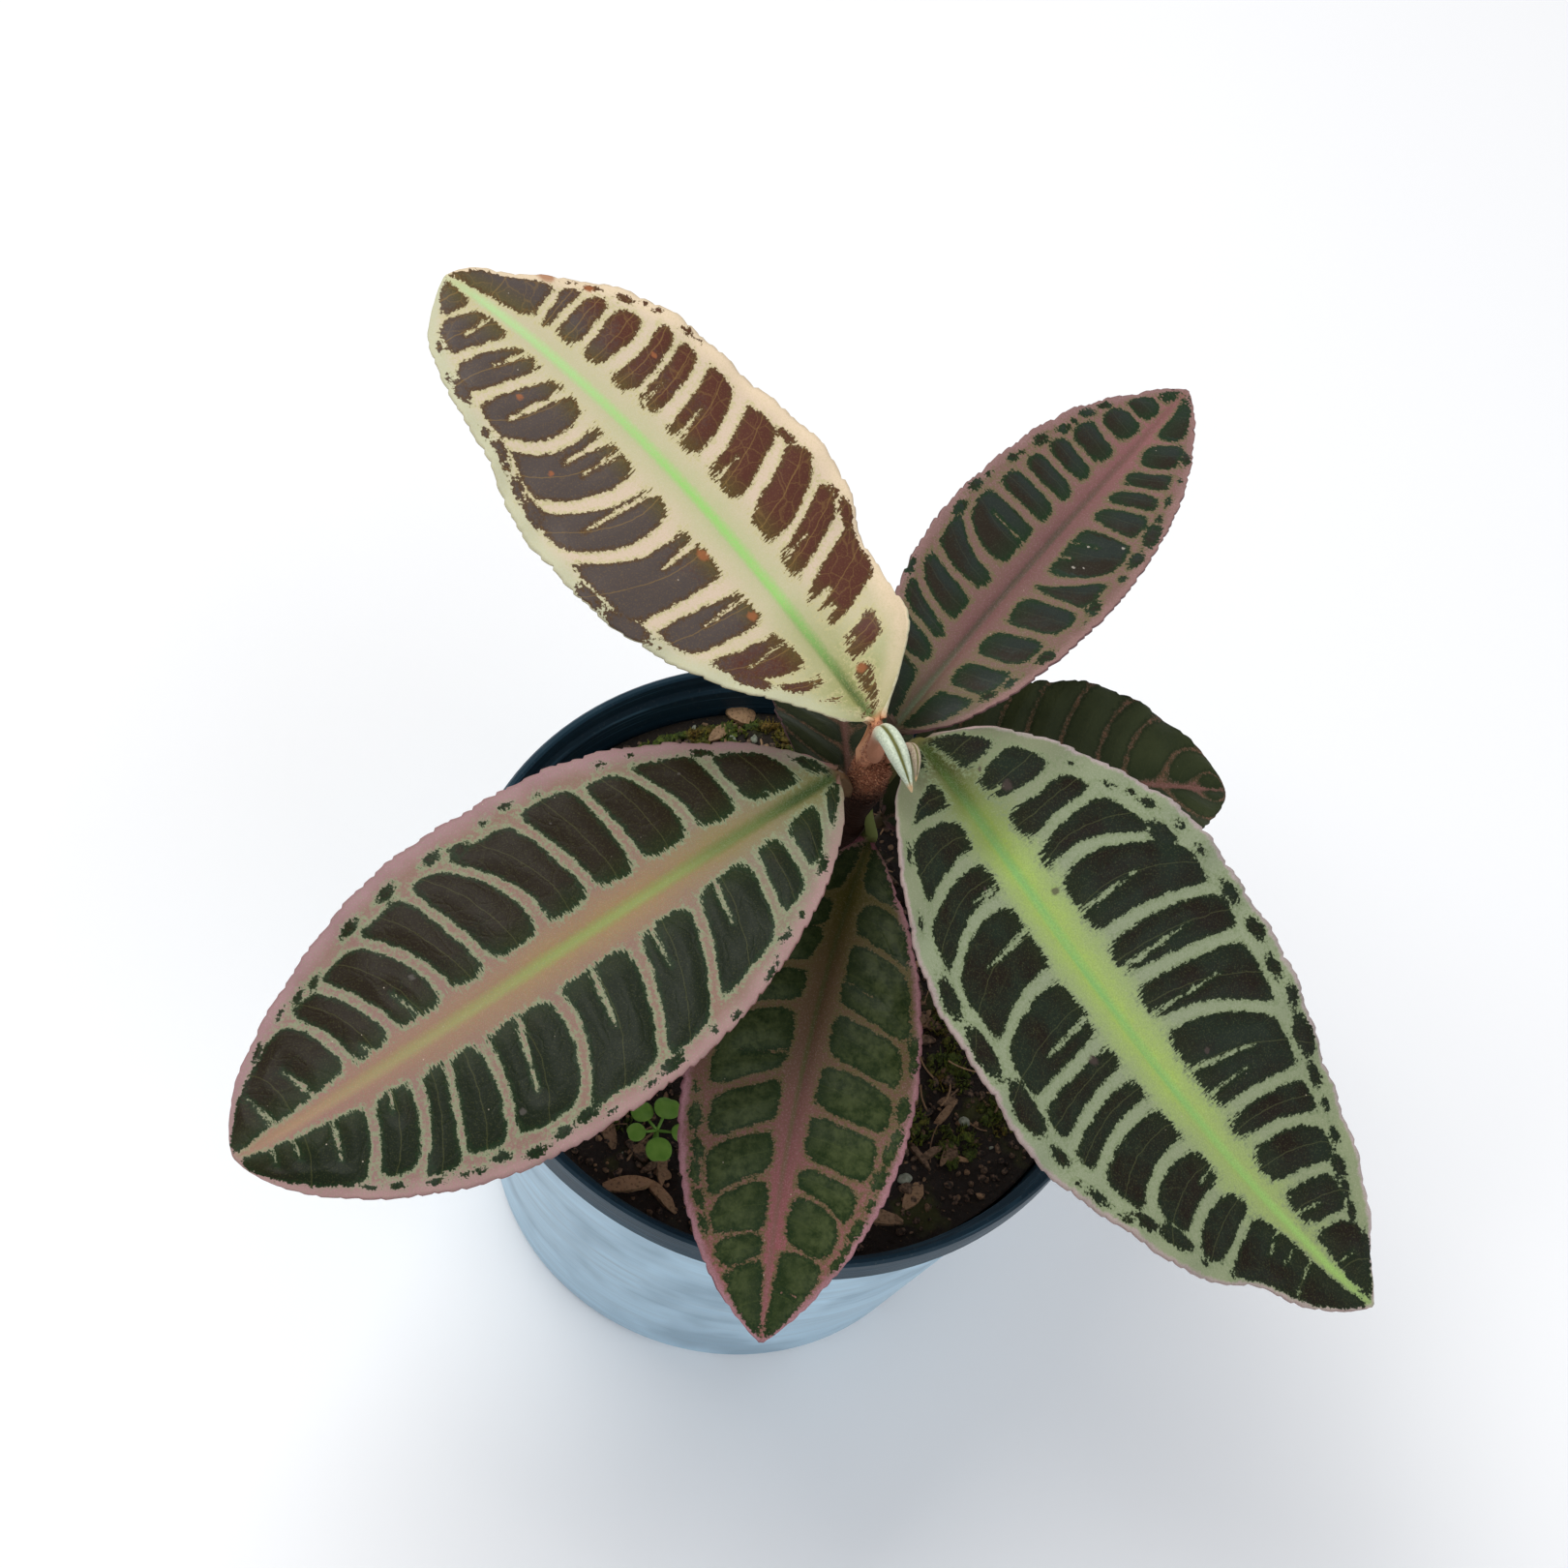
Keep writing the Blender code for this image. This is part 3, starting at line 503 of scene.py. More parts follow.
         (72, 88, 2.2), (77, 87, 3.3), (81, 88, 1.6), (84, 88, 2.2))),
     Half((0.22, 0.07), 85, (
        (14, 15, 18, 82, 0.9), (29, 31, 34, 80, 1), (37, 39, 42, 78, 1.1), (50.5, 54, 57.5, 73, 1.2),
        (60.5, 63.5, 67, 74, 0.9), (70, 73, 77.5, 76, 0.6), (80, 81, 83, 78, 0.25),
        (85, 86.5, 88, 80, 0.3)),
        ((46, 48.5, 55, 0.5), (20.5, 21.5, 38, 0.5)),
        ((57, 87, 1.7), (62, 85, 3.7), (67, 82, 3.2), (71, 85, 3.2), (75.5, 83, 2.7), (80, 84, 2.2)))),
}
print("veins read for", len(VEINS), "leaves:",
      sum(len(half.veins) for _, *halves in VEINS.values() for half in halves))


# %% [markdown]
# Three older leaves are dark and plain, and mostly hidden: their veins are thin and evenly spaced, so a
# loop writes them. The same loop gives each its row of patches.

# %% The veins of the plain leaves
def even_veins(count, lean, arch, reach, width):
    """A half with veins spaced evenly, each leaning and arching towards the tip."""
    spacing = 92.0 / count
    veins = []
    for index in range(count):
        foot = spacing * (index + 0.9)
        sway = 1.1 * math.sin(2.4 * index + count)
        veins.append((foot + sway, foot + sway + lean, foot + sway + lean + arch, reach, width))
    return Half((0.06, 0.05), reach, tuple(veins))


for name, count in (("leaf_right_back", 9), ("leaf_back_low", 7), ("leaf_left_low", 9)):
    VEINS[name] = (0.36, even_veins(count, 4.0, 5.5, 104, 1.0), even_veins(count + 1, 3.5, 5.0, 104, 1.0))
    print(name, "has", count, "and", count + 1, "veins")


# %% [markdown]
# From the veins comes one number for every point of a blade: how deep it lies inside a dark patch, in
# millimetres, negative on the pale ground. The material only has to cut it at zero, and noise frays the
# cut. The distance to the midrib, to the margin and to the fine line along each patch are kept in the same
# way.

# %% Distances over a blade
ROUNDING = 0.8  # of the patches' corners, millimetres
RULERS = (20.0, 50.0, 80.0)
STREAK_FOOT, STREAK_TIP = 0.62, 0.2  # width of a streak at either end, against a vein
VEIN_FOOT, VEIN_TIP = 1.25, 0.85  # and of a vein
ISLAND_SLIMNESS, ISLAND_LEAST = 0.22, 0.15
FAR = 20.0  # millimetres past which a distance counts for nothing in a corner


def crossing(three, span):
    """Place of a vein at each span, on the parabola through its three ruler readings, in percent."""
    a, b, c = RULERS
    first, middle, last = three
    return (first * (span - b) * (span - c) / ((a - b) * (a - c))
            + middle * (span - a) * (span - c) / ((b - a) * (b - c))
            + last * (span - a) * (span - b) / ((c - a) * (c - b)))


def softest(*distances):
    """The smallest of some distances, with the corners between them rounded off."""
    return -ROUNDING * np.log(sum(np.exp(-np.clip(d, -FAR, FAR) / ROUNDING) for d in distances))


def patch_depth(leaf, vein_half_width, half, place, span, reach):
    """Four distances in millimetres: into a patch, from the fine line along its middle, past the
    patches' inner ends, and along the blade, counted so that it stays the same along a vein. Reach is
    the half-blade."""
    percent, out = place * 100, span * 100
    scale = leaf.length / 100
    feet = [crossing(vein[:3], out) for vein in half.veins]
    thick = vein_half_width * mix(VEIN_FOOT, VEIN_TIP, span)
    lines = [np.abs(percent - foot) * scale - thick * vein[4] for foot, vein in zip(feet, half.veins)]
    between = np.min(lines, axis=0)
    passed = np.sum([percent > foot for foot in feet], axis=0)
    ends = np.array([half.first] + [vein[3] for vein in half.veins])[passed] / 100
    inner = mix(*half.inner, place)
    heel = (span - inner) * reach
    depth = softest(between, (ends - span) * reach, heel)
    for foot, end, limit, width in half.streaks:
        share = np.clip((out - 100 * inner) / (limit - 100 * inner), 0.0, 1.0)
        beyond = np.maximum(out - limit, 0.0) / 100 * reach
        thin = vein_half_width * width * mix(STREAK_FOOT, STREAK_TIP, share)
        depth = np.minimum(depth, np.hypot((percent - mix(foot, end, share)) * scale, beyond) - thin)
    for at, level, length in half.islands:
        slim = length * ISLAND_SLIMNESS + ISLAND_LEAST
        along, across = (percent - at) * scale / (length / 2), (span - level / 100) * reach / slim
        depth = np.maximum(depth, (1 - np.hypot(along, across)) * slim)
    edges = np.sort(np.stack([0 * percent] + feet + [100 + 0 * percent]), axis=0)
    middles = (edges[1:] + edges[:-1]) / 2
    arch = np.mean([foot - vein[1] for foot, vein in zip(feet, half.veins)], axis=0)
    from_lanes = percent - middles
    lane = np.take_along_axis(from_lanes, np.abs(from_lanes).argmin(axis=0)[None], axis=0)[0]
    return np.stack([depth, lane * scale, heel, (percent - arch) * scale])


at_65 = float(crossing((20, 30, 50), 65.0))
print("a vein read at 20, 30, 50 passes span 65 at", round(at_65, 1), "percent")


# %% [markdown]
# A leaf then comes from one flat grid. Each grid point is moved to its place on the blade, with the margin
# cut into small forward teeth, the veins pressed in and the patches quilted up between them. Solidify gives
# the strip its thickness, thick at the petiole and the keel and thin at the margin, with the underside in
# its own finish.

# %% Build a leaf
ROW_PITCH = 0.42
PETIOLE_ROWS = 16
PETIOLE_CROWN = 0.3  # how far its upper face bulges
PETIOLE_FLARE, FLARE_SHARE = 0.5, 0.12  # how much wider at the stem, over what share of its length
PETIOLE_SINK = 0.8  # how far it reaches into the bark
PETIOLE_LEAST, KEEL_WIDTH = 0.25, 1.4
SETTLE = 25  # the petiole's thickness gives way to the blade's over 1/25 of the blade
COLUMNS = 64
THICKEST = 2.0  # what a weight of 1 stands for
OFF_BLADE = -9.0  # patch distance on the petiole
TOOTH_PITCH, TOOTH_DEPTH = 2.1, 0.5
TOOTH_RISE, TOOTH_FROM = 0.55, 0.93  # shape of its slope, and the span where the teeth start
QUILT, QUILT_WIDTH = 0.42, 2.6
GROOVE_DEPTH, GROOVE_WIDTH, GROOVE_FADE = 0.55, 0.8, 0.6
FULL_REACH = 8.0  # half-blade from which the relief has its full height
EDGE_WAVE, EDGE_WAVE_PITCH = 0.32, 8.5
TIP_FADE = 3.0  # the last stretch of the blade, where it thins and its teeth run out


def margin_teeth(leaf, place, span, phase):
    """How far the margin is cut back: a slow rise to each tooth's tip, then a quick drop."""
    along = place * leaf.length + 0.5 * np.sin(place * 37 + phase)
    tooth = (along / TOOTH_PITCH) % 1.0
    deep = TOOTH_DEPTH * (1 - tooth**TOOTH_RISE) * (0.75 + 0.35 * np.sin(along * 1.9 + phase))
    deep *= np.clip((1 - place) * leaf.length / TIP_FADE, 0, 1)
    return deep * np.clip((np.abs(span) - TOOTH_FROM) / (1 - TOOTH_FROM), 0, 1)


def blade_form(leaf, place, span):
    """Points of the upper face, in millimetres, and the distances that the finish reads."""
    right_half = span > mix(*leaf.rib, place)
    _, right, up = frame_at(leaf, place)
    reach = half_width(leaf, place, span > 0)
    rib = mix(*leaf.rib, place)
    own_span = np.where(right_half, (span - rib) / (1 - rib), (rib - span) / (1 + rib))
    vein_half, left_veins, right_veins = VEINS[leaf.name]
    left = patch_depth(leaf, vein_half, left_veins, place, own_span, reach)
    right_side = patch_depth(leaf, vein_half, right_veins, place, own_span, reach)
    depth, lane, heel, flow = np.where(right_half, right_side, left)
    across = np.maximum(reach - margin_teeth(leaf, place, span, leaf.stem_bearing), TIP_HALF) * np.abs(span)
    from_rib = np.abs(span - rib) * reach
    lift_angle = np.radians(mix(*leaf.fold, place))
    side = np.where(span > 0, 1, -1)
    count, height, phase = leaf.waves
    fullness = np.minimum(1.0, reach / FULL_REACH)
    lift = height * np.sin(2 * np.pi * count * place + np.radians(phase) * side) * span**2 * fullness
    ripple = np.sin(2 * np.pi * place * leaf.length / EDGE_WAVE_PITCH + side)
    lift += EDGE_WAVE * ripple * span**4 * fullness
    if leaf.lift_right:
        lift += np.where(span > 0, swell(place, (leaf.lift_right,)) * span**2, 0.0)
    lift += QUILT * np.clip(depth / QUILT_WIDTH, -0.1, 1.0) * fullness
    groove = np.exp(-((from_rib / GROOVE_WIDTH) ** 2)) * (1 - GROOVE_FADE * place)
    lift -= GROOVE_DEPTH * groove * fullness
    points = spine_at(leaf, place) + right * (np.sign(span) * across * np.cos(lift_angle))[:, None]
    points += up * (across * np.sin(lift_angle) + lift)[:, None]
    distances = dict(patch=depth, lane=lane, heel=heel, flow=flow, rib=from_rib, out=own_span * reach,
                     rim=(1 - np.abs(span)) * reach, along=place * leaf.length, across=span * reach)
    return points, distances


def petiole_form(leaf, share, span):
    """Points of the petiole's upper face, share 0 at the stem and 1 at the blade."""
    x, y, radius = stem_at(leaf.stem_z)
    out = direction(float(leaf.stem_bearing), 0.0)
    if leaf.stem_z >= STEM[-1][0]:
        root = np.array((x, y, leaf.stem_z - PETIOLE_SINK)) + out * (radius - PETIOLE_HALF)
    else:
        root = np.array((x, y, leaf.stem_z)) + out * (radius - PETIOLE_SINK)
    end = np.array(leaf.base, float)
    blade_along, blade_right, _ = frame_at(leaf, np.zeros(1))
    bend = end - blade_along[0] * np.linalg.norm(end - root) * PETIOLE_BEND
    points, along = bent(root, bend, end, share[:, None])
    along /= np.linalg.norm(along, axis=1)[:, None]
    right = blade_right[0] - along * (along @ blade_right[0])[:, None]
    right /= np.linalg.norm(right, axis=1)[:, None]
    channel = np.cross(right, along) * (PETIOLE_CROWN * (1 - span**2))[:, None]
    half = PETIOLE_HALF * (1 + PETIOLE_FLARE * np.exp(-share / FLARE_SHARE))
    return points + right * (half * span)[:, None] + channel


def store(mesh, name, values):
    mesh.attributes.new(name, "FLOAT", "POINT").data.foreach_set("value", np.asarray(values, np.float32))


def build_leaf(leaf, upper, under):
    blade_rows = round(leaf.length / ROW_PITCH)
    rows = PETIOLE_ROWS + blade_rows
    bm = bmesh.new()
    bmesh.ops.create_grid(bm, x_segments=rows, y_segments=COLUMNS, size=0.5)
    flat = np.array([vert.co[:] for vert in bm.verts])
    row = np.round((flat[:, 0] + 0.5) * rows) - PETIOLE_ROWS
    span = -2 * flat[:, 1]
    on_blade = row >= 0
    place = np.clip(row / blade_rows, 0, 1)
    points, distances = blade_form(leaf, place, span)
    stalk = petiole_form(leaf, np.clip(1 + row / PETIOLE_ROWS, 0, 1), span)
    points = np.where(on_blade[:, None], points, stalk)
    for vert, point in zip(bm.verts, points):
        vert.co = point * MM
    near_rib = np.exp(-((distances["rib"] / KEEL_WIDTH) ** 2))
    keel = BLADE + (mix(KEEL, KEEL_TIP, place) - BLADE) * near_rib
    belly = PETIOLE * np.sqrt(np.clip(1 - span**2, 0, 1)) + PETIOLE_LEAST
    thick = np.where(on_blade, mix(belly, keel, np.clip(place * SETTLE, 0, 1)), belly)
    thick *= np.clip((1 - place) * leaf.length / TIP_FADE, 0.2, 1)
    obj = add_object(f"{leaf.name}_dressed", bm, upper, under)
    distances["patch"] = np.where(on_blade, distances["patch"], OFF_BLADE)
    distances["place"] = np.where(on_blade, place, -0.1)
    for name, values in distances.items():
        store(obj.data, name, values)
    weights = obj.vertex_groups.new(name="thickness")
    for index, value in enumerate(thick):
        weights.add([index], float(value) / THICKEST, "REPLACE")
    wall = obj.modifiers.new("blade", "SOLIDIFY")
    wall.thickness, wall.offset = THICKEST * MM, -1.0
    wall.vertex_group = "thickness"
    wall.material_offset = wall.material_offset_rim = 1
    obj.data.shade_smooth()
    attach(obj, "root")
    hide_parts(leaf.name)
    return obj


# %% [markdown]
# The finish of a blade layers a pale ground of veins, a midrib band with its thin line, a tinted margin,
# dark patches with greener frayed edges, a faint net of the finest veins and a few dust specks. Each leaf
# has its own set of colours, because the young ones are cream and the old ones nearly all green. The front
# leaf's dark base colours are painted shade, and the grey in the upper left leaf's patches is painted
# sheen.

# %% The colours of each leaf
@dataclass
class Look:
    vein: tuple  # the ground between the patches; this and the next two at base, middle and tip
    band: tuple  # beside the midrib
    line: tuple  # the midrib itself
    margin: tuple  # left and right
    fringe: tuple  # the ground beside a patch
    dark: tuple
    dark_other: tuple
    heel: tuple  # the inner end of a patch
    edge: tuple  # the border of a patch
    net: tuple  # finest veins, inside the patches
    under: tuple
    stalk: tuple
    band_width: float = 4.0
    line_width: float = 0.45
    margin_width: float = 1.2
    foot_reach: float = 0.14  # how far up the blade the base colours go
    net_strength: float = 0.25
    feather: float = 1.4
    fray: float = 0.8
    mottle: float = 6.0  # size of the clouds in the patches
    threads: float = 0.06  # how strongly the side threads of the net show
    veer: tuple = (0.0, 0.0, 0.0)  # dark_other gains to the left, to the tip and outwards in each patch
    spots: tuple = ()  # along and across the blade and radius, millimetres
    spot: tuple = (0.33, 0.115, 0.045)


LOOKS = {
    "leaf_upper_left": Look(
        vein=((0.42, 0.43, 0.22), (0.62, 0.485, 0.365), (0.56, 0.47, 0.35)),
        band=((0.28, 0.28, 0.10), (0.45, 0.46, 0.25), (0.50, 0.45, 0.29)),
        line=((0.09, 0.13, 0.035), (0.30, 0.56, 0.155), (0.42, 0.60, 0.28)),
        margin=((0.50, 0.50, 0.34), (0.72, 0.57, 0.40)),
        # painted sheen: the grey dark_other, laid towards the tip and the left by veer, stands for the
        # sheen on these patches
        fringe=(0.50, 0.45, 0.23), dark=(0.088, 0.030, 0.020), dark_other=(0.080, 0.062, 0.055),
        heel=(0.095, 0.078, 0.020), edge=(0.085, 0.045, 0.018), net=(0.26, 0.16, 0.05),
        under=(0.50, 0.46, 0.30), stalk=(0.60, 0.28, 0.14), band_width=6.5, line_width=0.72, mottle=14.0,
        margin_width=2.4, foot_reach=0.16, net_strength=0.6, threads=0.3, veer=(0.022, 0.75, 0.0),
        feather=2.2, fray=1.0,
        spots=((33.1, -5.6, 1.1), (22.1, -5.9, 0.9), (67.4, -7.9, 0.6), (60.6, -21.6, 0.4),
               (58.5, 12.1, 0.5), (71.6, 14.4, 0.8), (77.3, 11.8, 1.6), (56.2, -13.9, 0.5),
               (7.0, 2.7, 0.8))),
    "leaf_upper_right": Look(
        vein=((0.14, 0.105, 0.072), (0.19, 0.105, 0.090), (0.23, 0.11, 0.105)),
        band=((0.15, 0.10, 0.070), (0.17, 0.075, 0.075), (0.27, 0.105, 0.110)),
        line=((0.11, 0.13, 0.075), (0.085, 0.060, 0.045), (0.20, 0.085, 0.08)),
        margin=((0.26, 0.145, 0.14), (0.27, 0.15, 0.14)),
        fringe=(0.14, 0.12, 0.055), dark=(0.022, 0.016, 0.010), dark_other=(0.021, 0.028, 0.023),
        heel=(0.015, 0.030, 0.012), edge=(0.010, 0.030, 0.009), net=(0.075, 0.085, 0.05),
        under=(0.14, 0.07, 0.07), stalk=(0.12, 0.09, 0.05), feather=0.8, fray=0.7, margin_width=1.2,
        veer=(0.0, 0.0, 0.16),
        spots=((42.8, 5.3, 0.22), (45.4, 9.7, 0.30), (37.7, 5.6, 0.25), (38.3, 6.9, 0.22)),
        spot=(0.45, 0.40, 0.34)),
    "leaf_left": Look(
        vein=((0.19, 0.18, 0.12), (0.235, 0.135, 0.105), (0.25, 0.14, 0.125)),
        band=((0.17, 0.155, 0.050), (0.29, 0.185, 0.082), (0.28, 0.14, 0.115)),
        line=((0.045, 0.075, 0.016), (0.24, 0.27, 0.080), (0.33, 0.20, 0.12)),
        margin=((0.34, 0.20, 0.195), (0.33, 0.19, 0.20)),
        fringe=(0.225, 0.27, 0.155), dark=(0.015, 0.0095, 0.004), dark_other=(0.008, 0.013, 0.005),
        heel=(0.016, 0.026, 0.007), edge=(0.010, 0.026, 0.008), net=(0.095, 0.095, 0.03),
        under=(0.24, 0.12, 0.11), stalk=(0.15, 0.09, 0.045), band_width=4.6, line_width=0.8, feather=1.5,
        foot_reach=0.2, net_strength=0.4, veer=(0.03, 0.0, 0.0), margin_width=2.2,
        spots=((19.4, 12.2, 0.3), (38.4, 15.9, 0.2), (66.6, 8.1, 0.5), (64.3, -16.6, 0.5)),
        spot=(0.085, 0.075, 0.065)),
    "leaf_lower_right": Look(
        vein=((0.20, 0.21, 0.12), (0.255, 0.29, 0.18), (0.24, 0.27, 0.15)),
        band=((0.055, 0.060, 0.009), (0.34, 0.46, 0.10), (0.27, 0.34, 0.12)),
        line=((0.035, 0.055, 0.006), (0.22, 0.42, 0.12), (0.29, 0.46, 0.12)),
        margin=((0.42, 0.33, 0.33), (0.38, 0.29, 0.28)),
        fringe=(0.19, 0.23, 0.12), dark=(0.011, 0.007, 0.004), dark_other=(0.012, 0.019, 0.011),
        heel=(0.013, 0.018, 0.006), edge=(0.009, 0.017, 0.006), net=(0.12, 0.13, 0.05),
        under=(0.30, 0.22, 0.20), stalk=(0.11, 0.10, 0.03), band_width=6.0, line_width=0.65,
        margin_width=0.65, feather=2.2, fray=1.2, foot_reach=0.13, net_strength=0.35,
        spots=((8.0, -5.3, 0.35), (21.8, 5.9, 0.3), (12.4, -7.0, 0.9), (28.7, -3.8, 0.7), (49.9, 9.5, 0.9),
               (61.1, -7.0, 0.5)), spot=(0.065, 0.045, 0.040)),
    "leaf_front": Look(
        # painted shade: the dark olive base colours of vein, band and line, over the lower 38 percent of
        # the blade, stand for the shade of the leaves above
        vein=((0.075, 0.062, 0.012), (0.155, 0.074, 0.062), (0.24, 0.085, 0.085)),
        band=((0.060, 0.055, 0.007), (0.15, 0.068, 0.062), (0.27, 0.080, 0.095)),
        line=((0.045, 0.050, 0.008), (0.095, 0.078, 0.035), (0.22, 0.08, 0.085)),
        margin=((0.33, 0.16, 0.185), (0.33, 0.16, 0.185)),
        fringe=(0.10, 0.085, 0.030), dark=(0.013, 0.025, 0.005), dark_other=(0.050, 0.066, 0.022),
        heel=(0.012, 0.024, 0.005), edge=(0.008, 0.022, 0.005), net=(0.075, 0.095, 0.025),
        under=(0.16, 0.06, 0.07), stalk=(0.19, 0.23, 0.07), feather=0.7, fray=0.8, margin_width=1.0,
        foot_reach=0.38, line_width=0.35, band_width=3.0, mottle=1.7),
    "leaf_right_back": Look(
        vein=((0.075, 0.052, 0.025), (0.15, 0.076, 0.042), (0.15, 0.075, 0.045)),
        band=((0.09, 0.05, 0.03), (0.12, 0.062, 0.038), (0.15, 0.070, 0.055)),
        line=((0.10, 0.06, 0.04), (0.16, 0.075, 0.055), (0.18, 0.080, 0.065)),
        margin=((0.060, 0.036, 0.022), (0.060, 0.036, 0.022)),
        fringe=(0.030, 0.034, 0.012), dark=(0.026, 0.034, 0.012), dark_other=(0.036, 0.045, 0.016),
        heel=(0.016, 0.024, 0.007), edge=(0.016, 0.024, 0.007), net=(0.05, 0.055, 0.02),
        under=(0.10, 0.05, 0.05), stalk=(0.08, 0.06, 0.03), band_width=0.9, feather=0.4, fray=0.5,
        margin_width=0.3),
}
LOOKS["leaf_back_low"] = LOOKS["leaf_left_low"] = LOOKS["leaf_right_back"]

HAIR_LENGTH, HAIR_WIDTH = 1.8, 0.3  # of the fine combing along the veins
NET_LENGTH, NET_WIDTH = 2.4, 3.4  # of the meshes between the finest veins
STALK_END = (0.004, 0.012)  # the place where the stalk's colour stops, and how softly
PALE_HAIR, DUST = (0.9, 0.85, 0.75), (0.55, 0.46, 0.36)


def leaf_finish(leaf, look):
    f = Finish(f"{leaf.name}_upper")
    names = ("patch", "lane", "heel", "rib", "rim", "place", "flow", "out", "across")
    depth, lane, heel, rib, rim, place, flow, out, across = (f.stored(name) for name in names)
    grain, velvet, lumps, drift = f.cloud(0.5), f.cloud(0.22, 1.0), f.cloud(2.6), f.cloud(9.0)
    hairs = f.cloud(1.0, 2.0, f.flat(flow * (1 / HAIR_WIDTH), out * (1 / HAIR_LENGTH)))
    near_heel = heel.below(2.2, 3.5)
    ragged = near_heel * place.below(0.85, 0.3) * look.feather + 0.55
    fray = rim.below(3.5, 2.0) * 0.8 + look.fray
    edge = depth + lumps * 0.9 + grain * fray + velvet * 0.5 + hairs * ragged
    inside = edge.above(0.0, 0.2)

    def staged(base, middle, tip):
        near_base = (place + drift * 0.1).below(look.foot_reach, look.foot_reach * 1.3)
        return f.coats(middle, (near_base, base), ((place + drift * 0.15).above(0.7, 0.4), tip))

    from_rib = rib + drift * 2.5 + lumps * 2.0 + grain * 2.5
    near_rib = from_rib.below(look.band_width * 0.55, look.band_width)
    near_rim = (rim + lumps * 1.6 + grain).below(look.margin_width, look.margin_width)
    on_line = (rib + grain * 0.6).below(look.line_width, look.line_width * 1.3)
    ground = f.coats(
        f.blend(near_rib, staged(*look.vein), staged(*look.band)),
        ((edge + grain * 1.4).above(-0.42, 0.6) * 0.8, look.fringe),
        (near_rim * place.above(0.04, 0.12) * 0.9, f.blend(across.above(0.0, 2.0), *look.margin)),
        (on_line * place.below(0.97, 0.1), staged(*look.line)),
        (velvet.above(0.08, 0.16) * 0.3, look.fringe),
        (velvet.below(-0.12, 0.14) * 0.05, PALE_HAIR))

    # on the upper left leaf this mix of dark and dark_other lays a painted sheen towards the tip and the
    # left
    leftward, tipward, outward = look.veer
    veer = f.cloud(look.mottle) + grain * 0.4 - across * leftward + (place - 0.5) * tipward + lane * outward
    along_net, across_net = flow + lumps * 2.0, out + drift * 5.0 + grain * 0.4
    mesh = f.net(1.0, f.flat(along_net * (1 / NET_LENGTH), across_net * (1 / NET_WIDTH)))
    threads = mesh.below(0.02, 0.04) * across.above(-6.0, 10.0) * look.threads
    middle = (lane + lumps * 0.7 + grain * 0.15).size().below(0.06, 0.13) * look.net_strength
    patch = f.coats(
        f.blend(veer.above(0.0, 0.35), look.dark, look.dark_other),
        (near_heel * 0.7, look.heel),
        ((edge + grain * 0.5).below(0.45, 0.6) * 0.85, look.edge),
        (velvet.above(0.12, 0.12) * 0.2, look.net),
        (threads, look.net),
        (middle, look.net))

    colour = f.blend(inside, ground, patch)
    here = f.flat(f.stored("along") + grain * 0.9 + lumps * 0.6, across + lumps * 1.2)
    dust = f.specks(3.1, 0.035) * f.cloud(14.0).above(0.03, 0.1)
    spots = [(f.spot(here, x, y, radius * 0.85) * 0.75, look.spot) for x, y, radius in look.spots]
    colour = f.coats(colour, *spots, (place.below(*STALK_END), look.stalk), (dust * 0.6, DUST))
    relief = f.cloud(0.8) * 0.03 + grain * 0.03 + mesh.below(0.06, 0.1) * inside * -0.02
    return f.finish(colour, inside * -0.07 + lumps * 0.12 + 0.52, relief, Specular_IOR_Level=0.11)


def underside_finish(leaf, look):
    f = Finish(f"{leaf.name}_under")
    rib, grain = f.stored("rib"), f.cloud(0.5)
    veins = f.stored("patch").below(-0.2, 0.8)
    paler = tuple(min(1.0, c * 1.35) for c in look.under)
    darker = tuple(c * 0.6 for c in look.under)
    colour = f.coats(look.under, (veins * 0.5, paler), (rib.below(1.0, 0.8), paler),
                     (grain.above(0.08, 0.2) * 0.4, darker),
                     (f.stored("place").below(*STALK_END), look.stalk))
    relief = rib.below(0.9, 0.8) * 0.2 + veins * 0.08 + grain * 0.06
    return f.finish(colour, grain * 0.1 + 0.6, relief, Specular_IOR_Level=0.2)


for leaf in LEAVES:
    look = LOOKS[leaf.name]
    made = build_leaf(leaf, leaf_finish(leaf, look), underside_finish(leaf, look))
    print(made.name, len(made.data.polygons), "quads on the upper face")


# %% [markdown]
# The pot is a thin nursery pot: a tapered wall that steps out to a band round the mouth, with an inner
# ledge. Its half outline is a row of points spun round the axis. The drain holes are cut in the floor
# afterwards.

# %% Turn the pot
POT_HEIGHT, RIM_RADIUS, FOOT_RADIUS, FOOT_CHAMFER = 70.0, 52.5, 38.5, 0.9
WALL, FLOOR = 1.5, 1.4
LIP_BAND, LIP_STEP, LIP_LEDGE, LIP_FLAT = 5.6, 1.9, 3.0, 1.4
LIP_EDGE, LIP_DRAFT, LEDGE_DROP = 0.4, 0.3, 0.6
FOOT_RING, FOOT_RISE = 2.0, 0.5  # the ring it stands on, and how far the floor lies above it
POT_TURNS = 144
DRAIN_HOLES, DRAIN_RADIUS, DRAIN_CIRCLE = 6, 3.5, 25.0


def wall_radius(z):
    return mix(FOOT_RADIUS + FOOT_CHAMFER, RIM_RADIUS - LIP_STEP, z / (POT_HEIGHT - LIP_BAND))


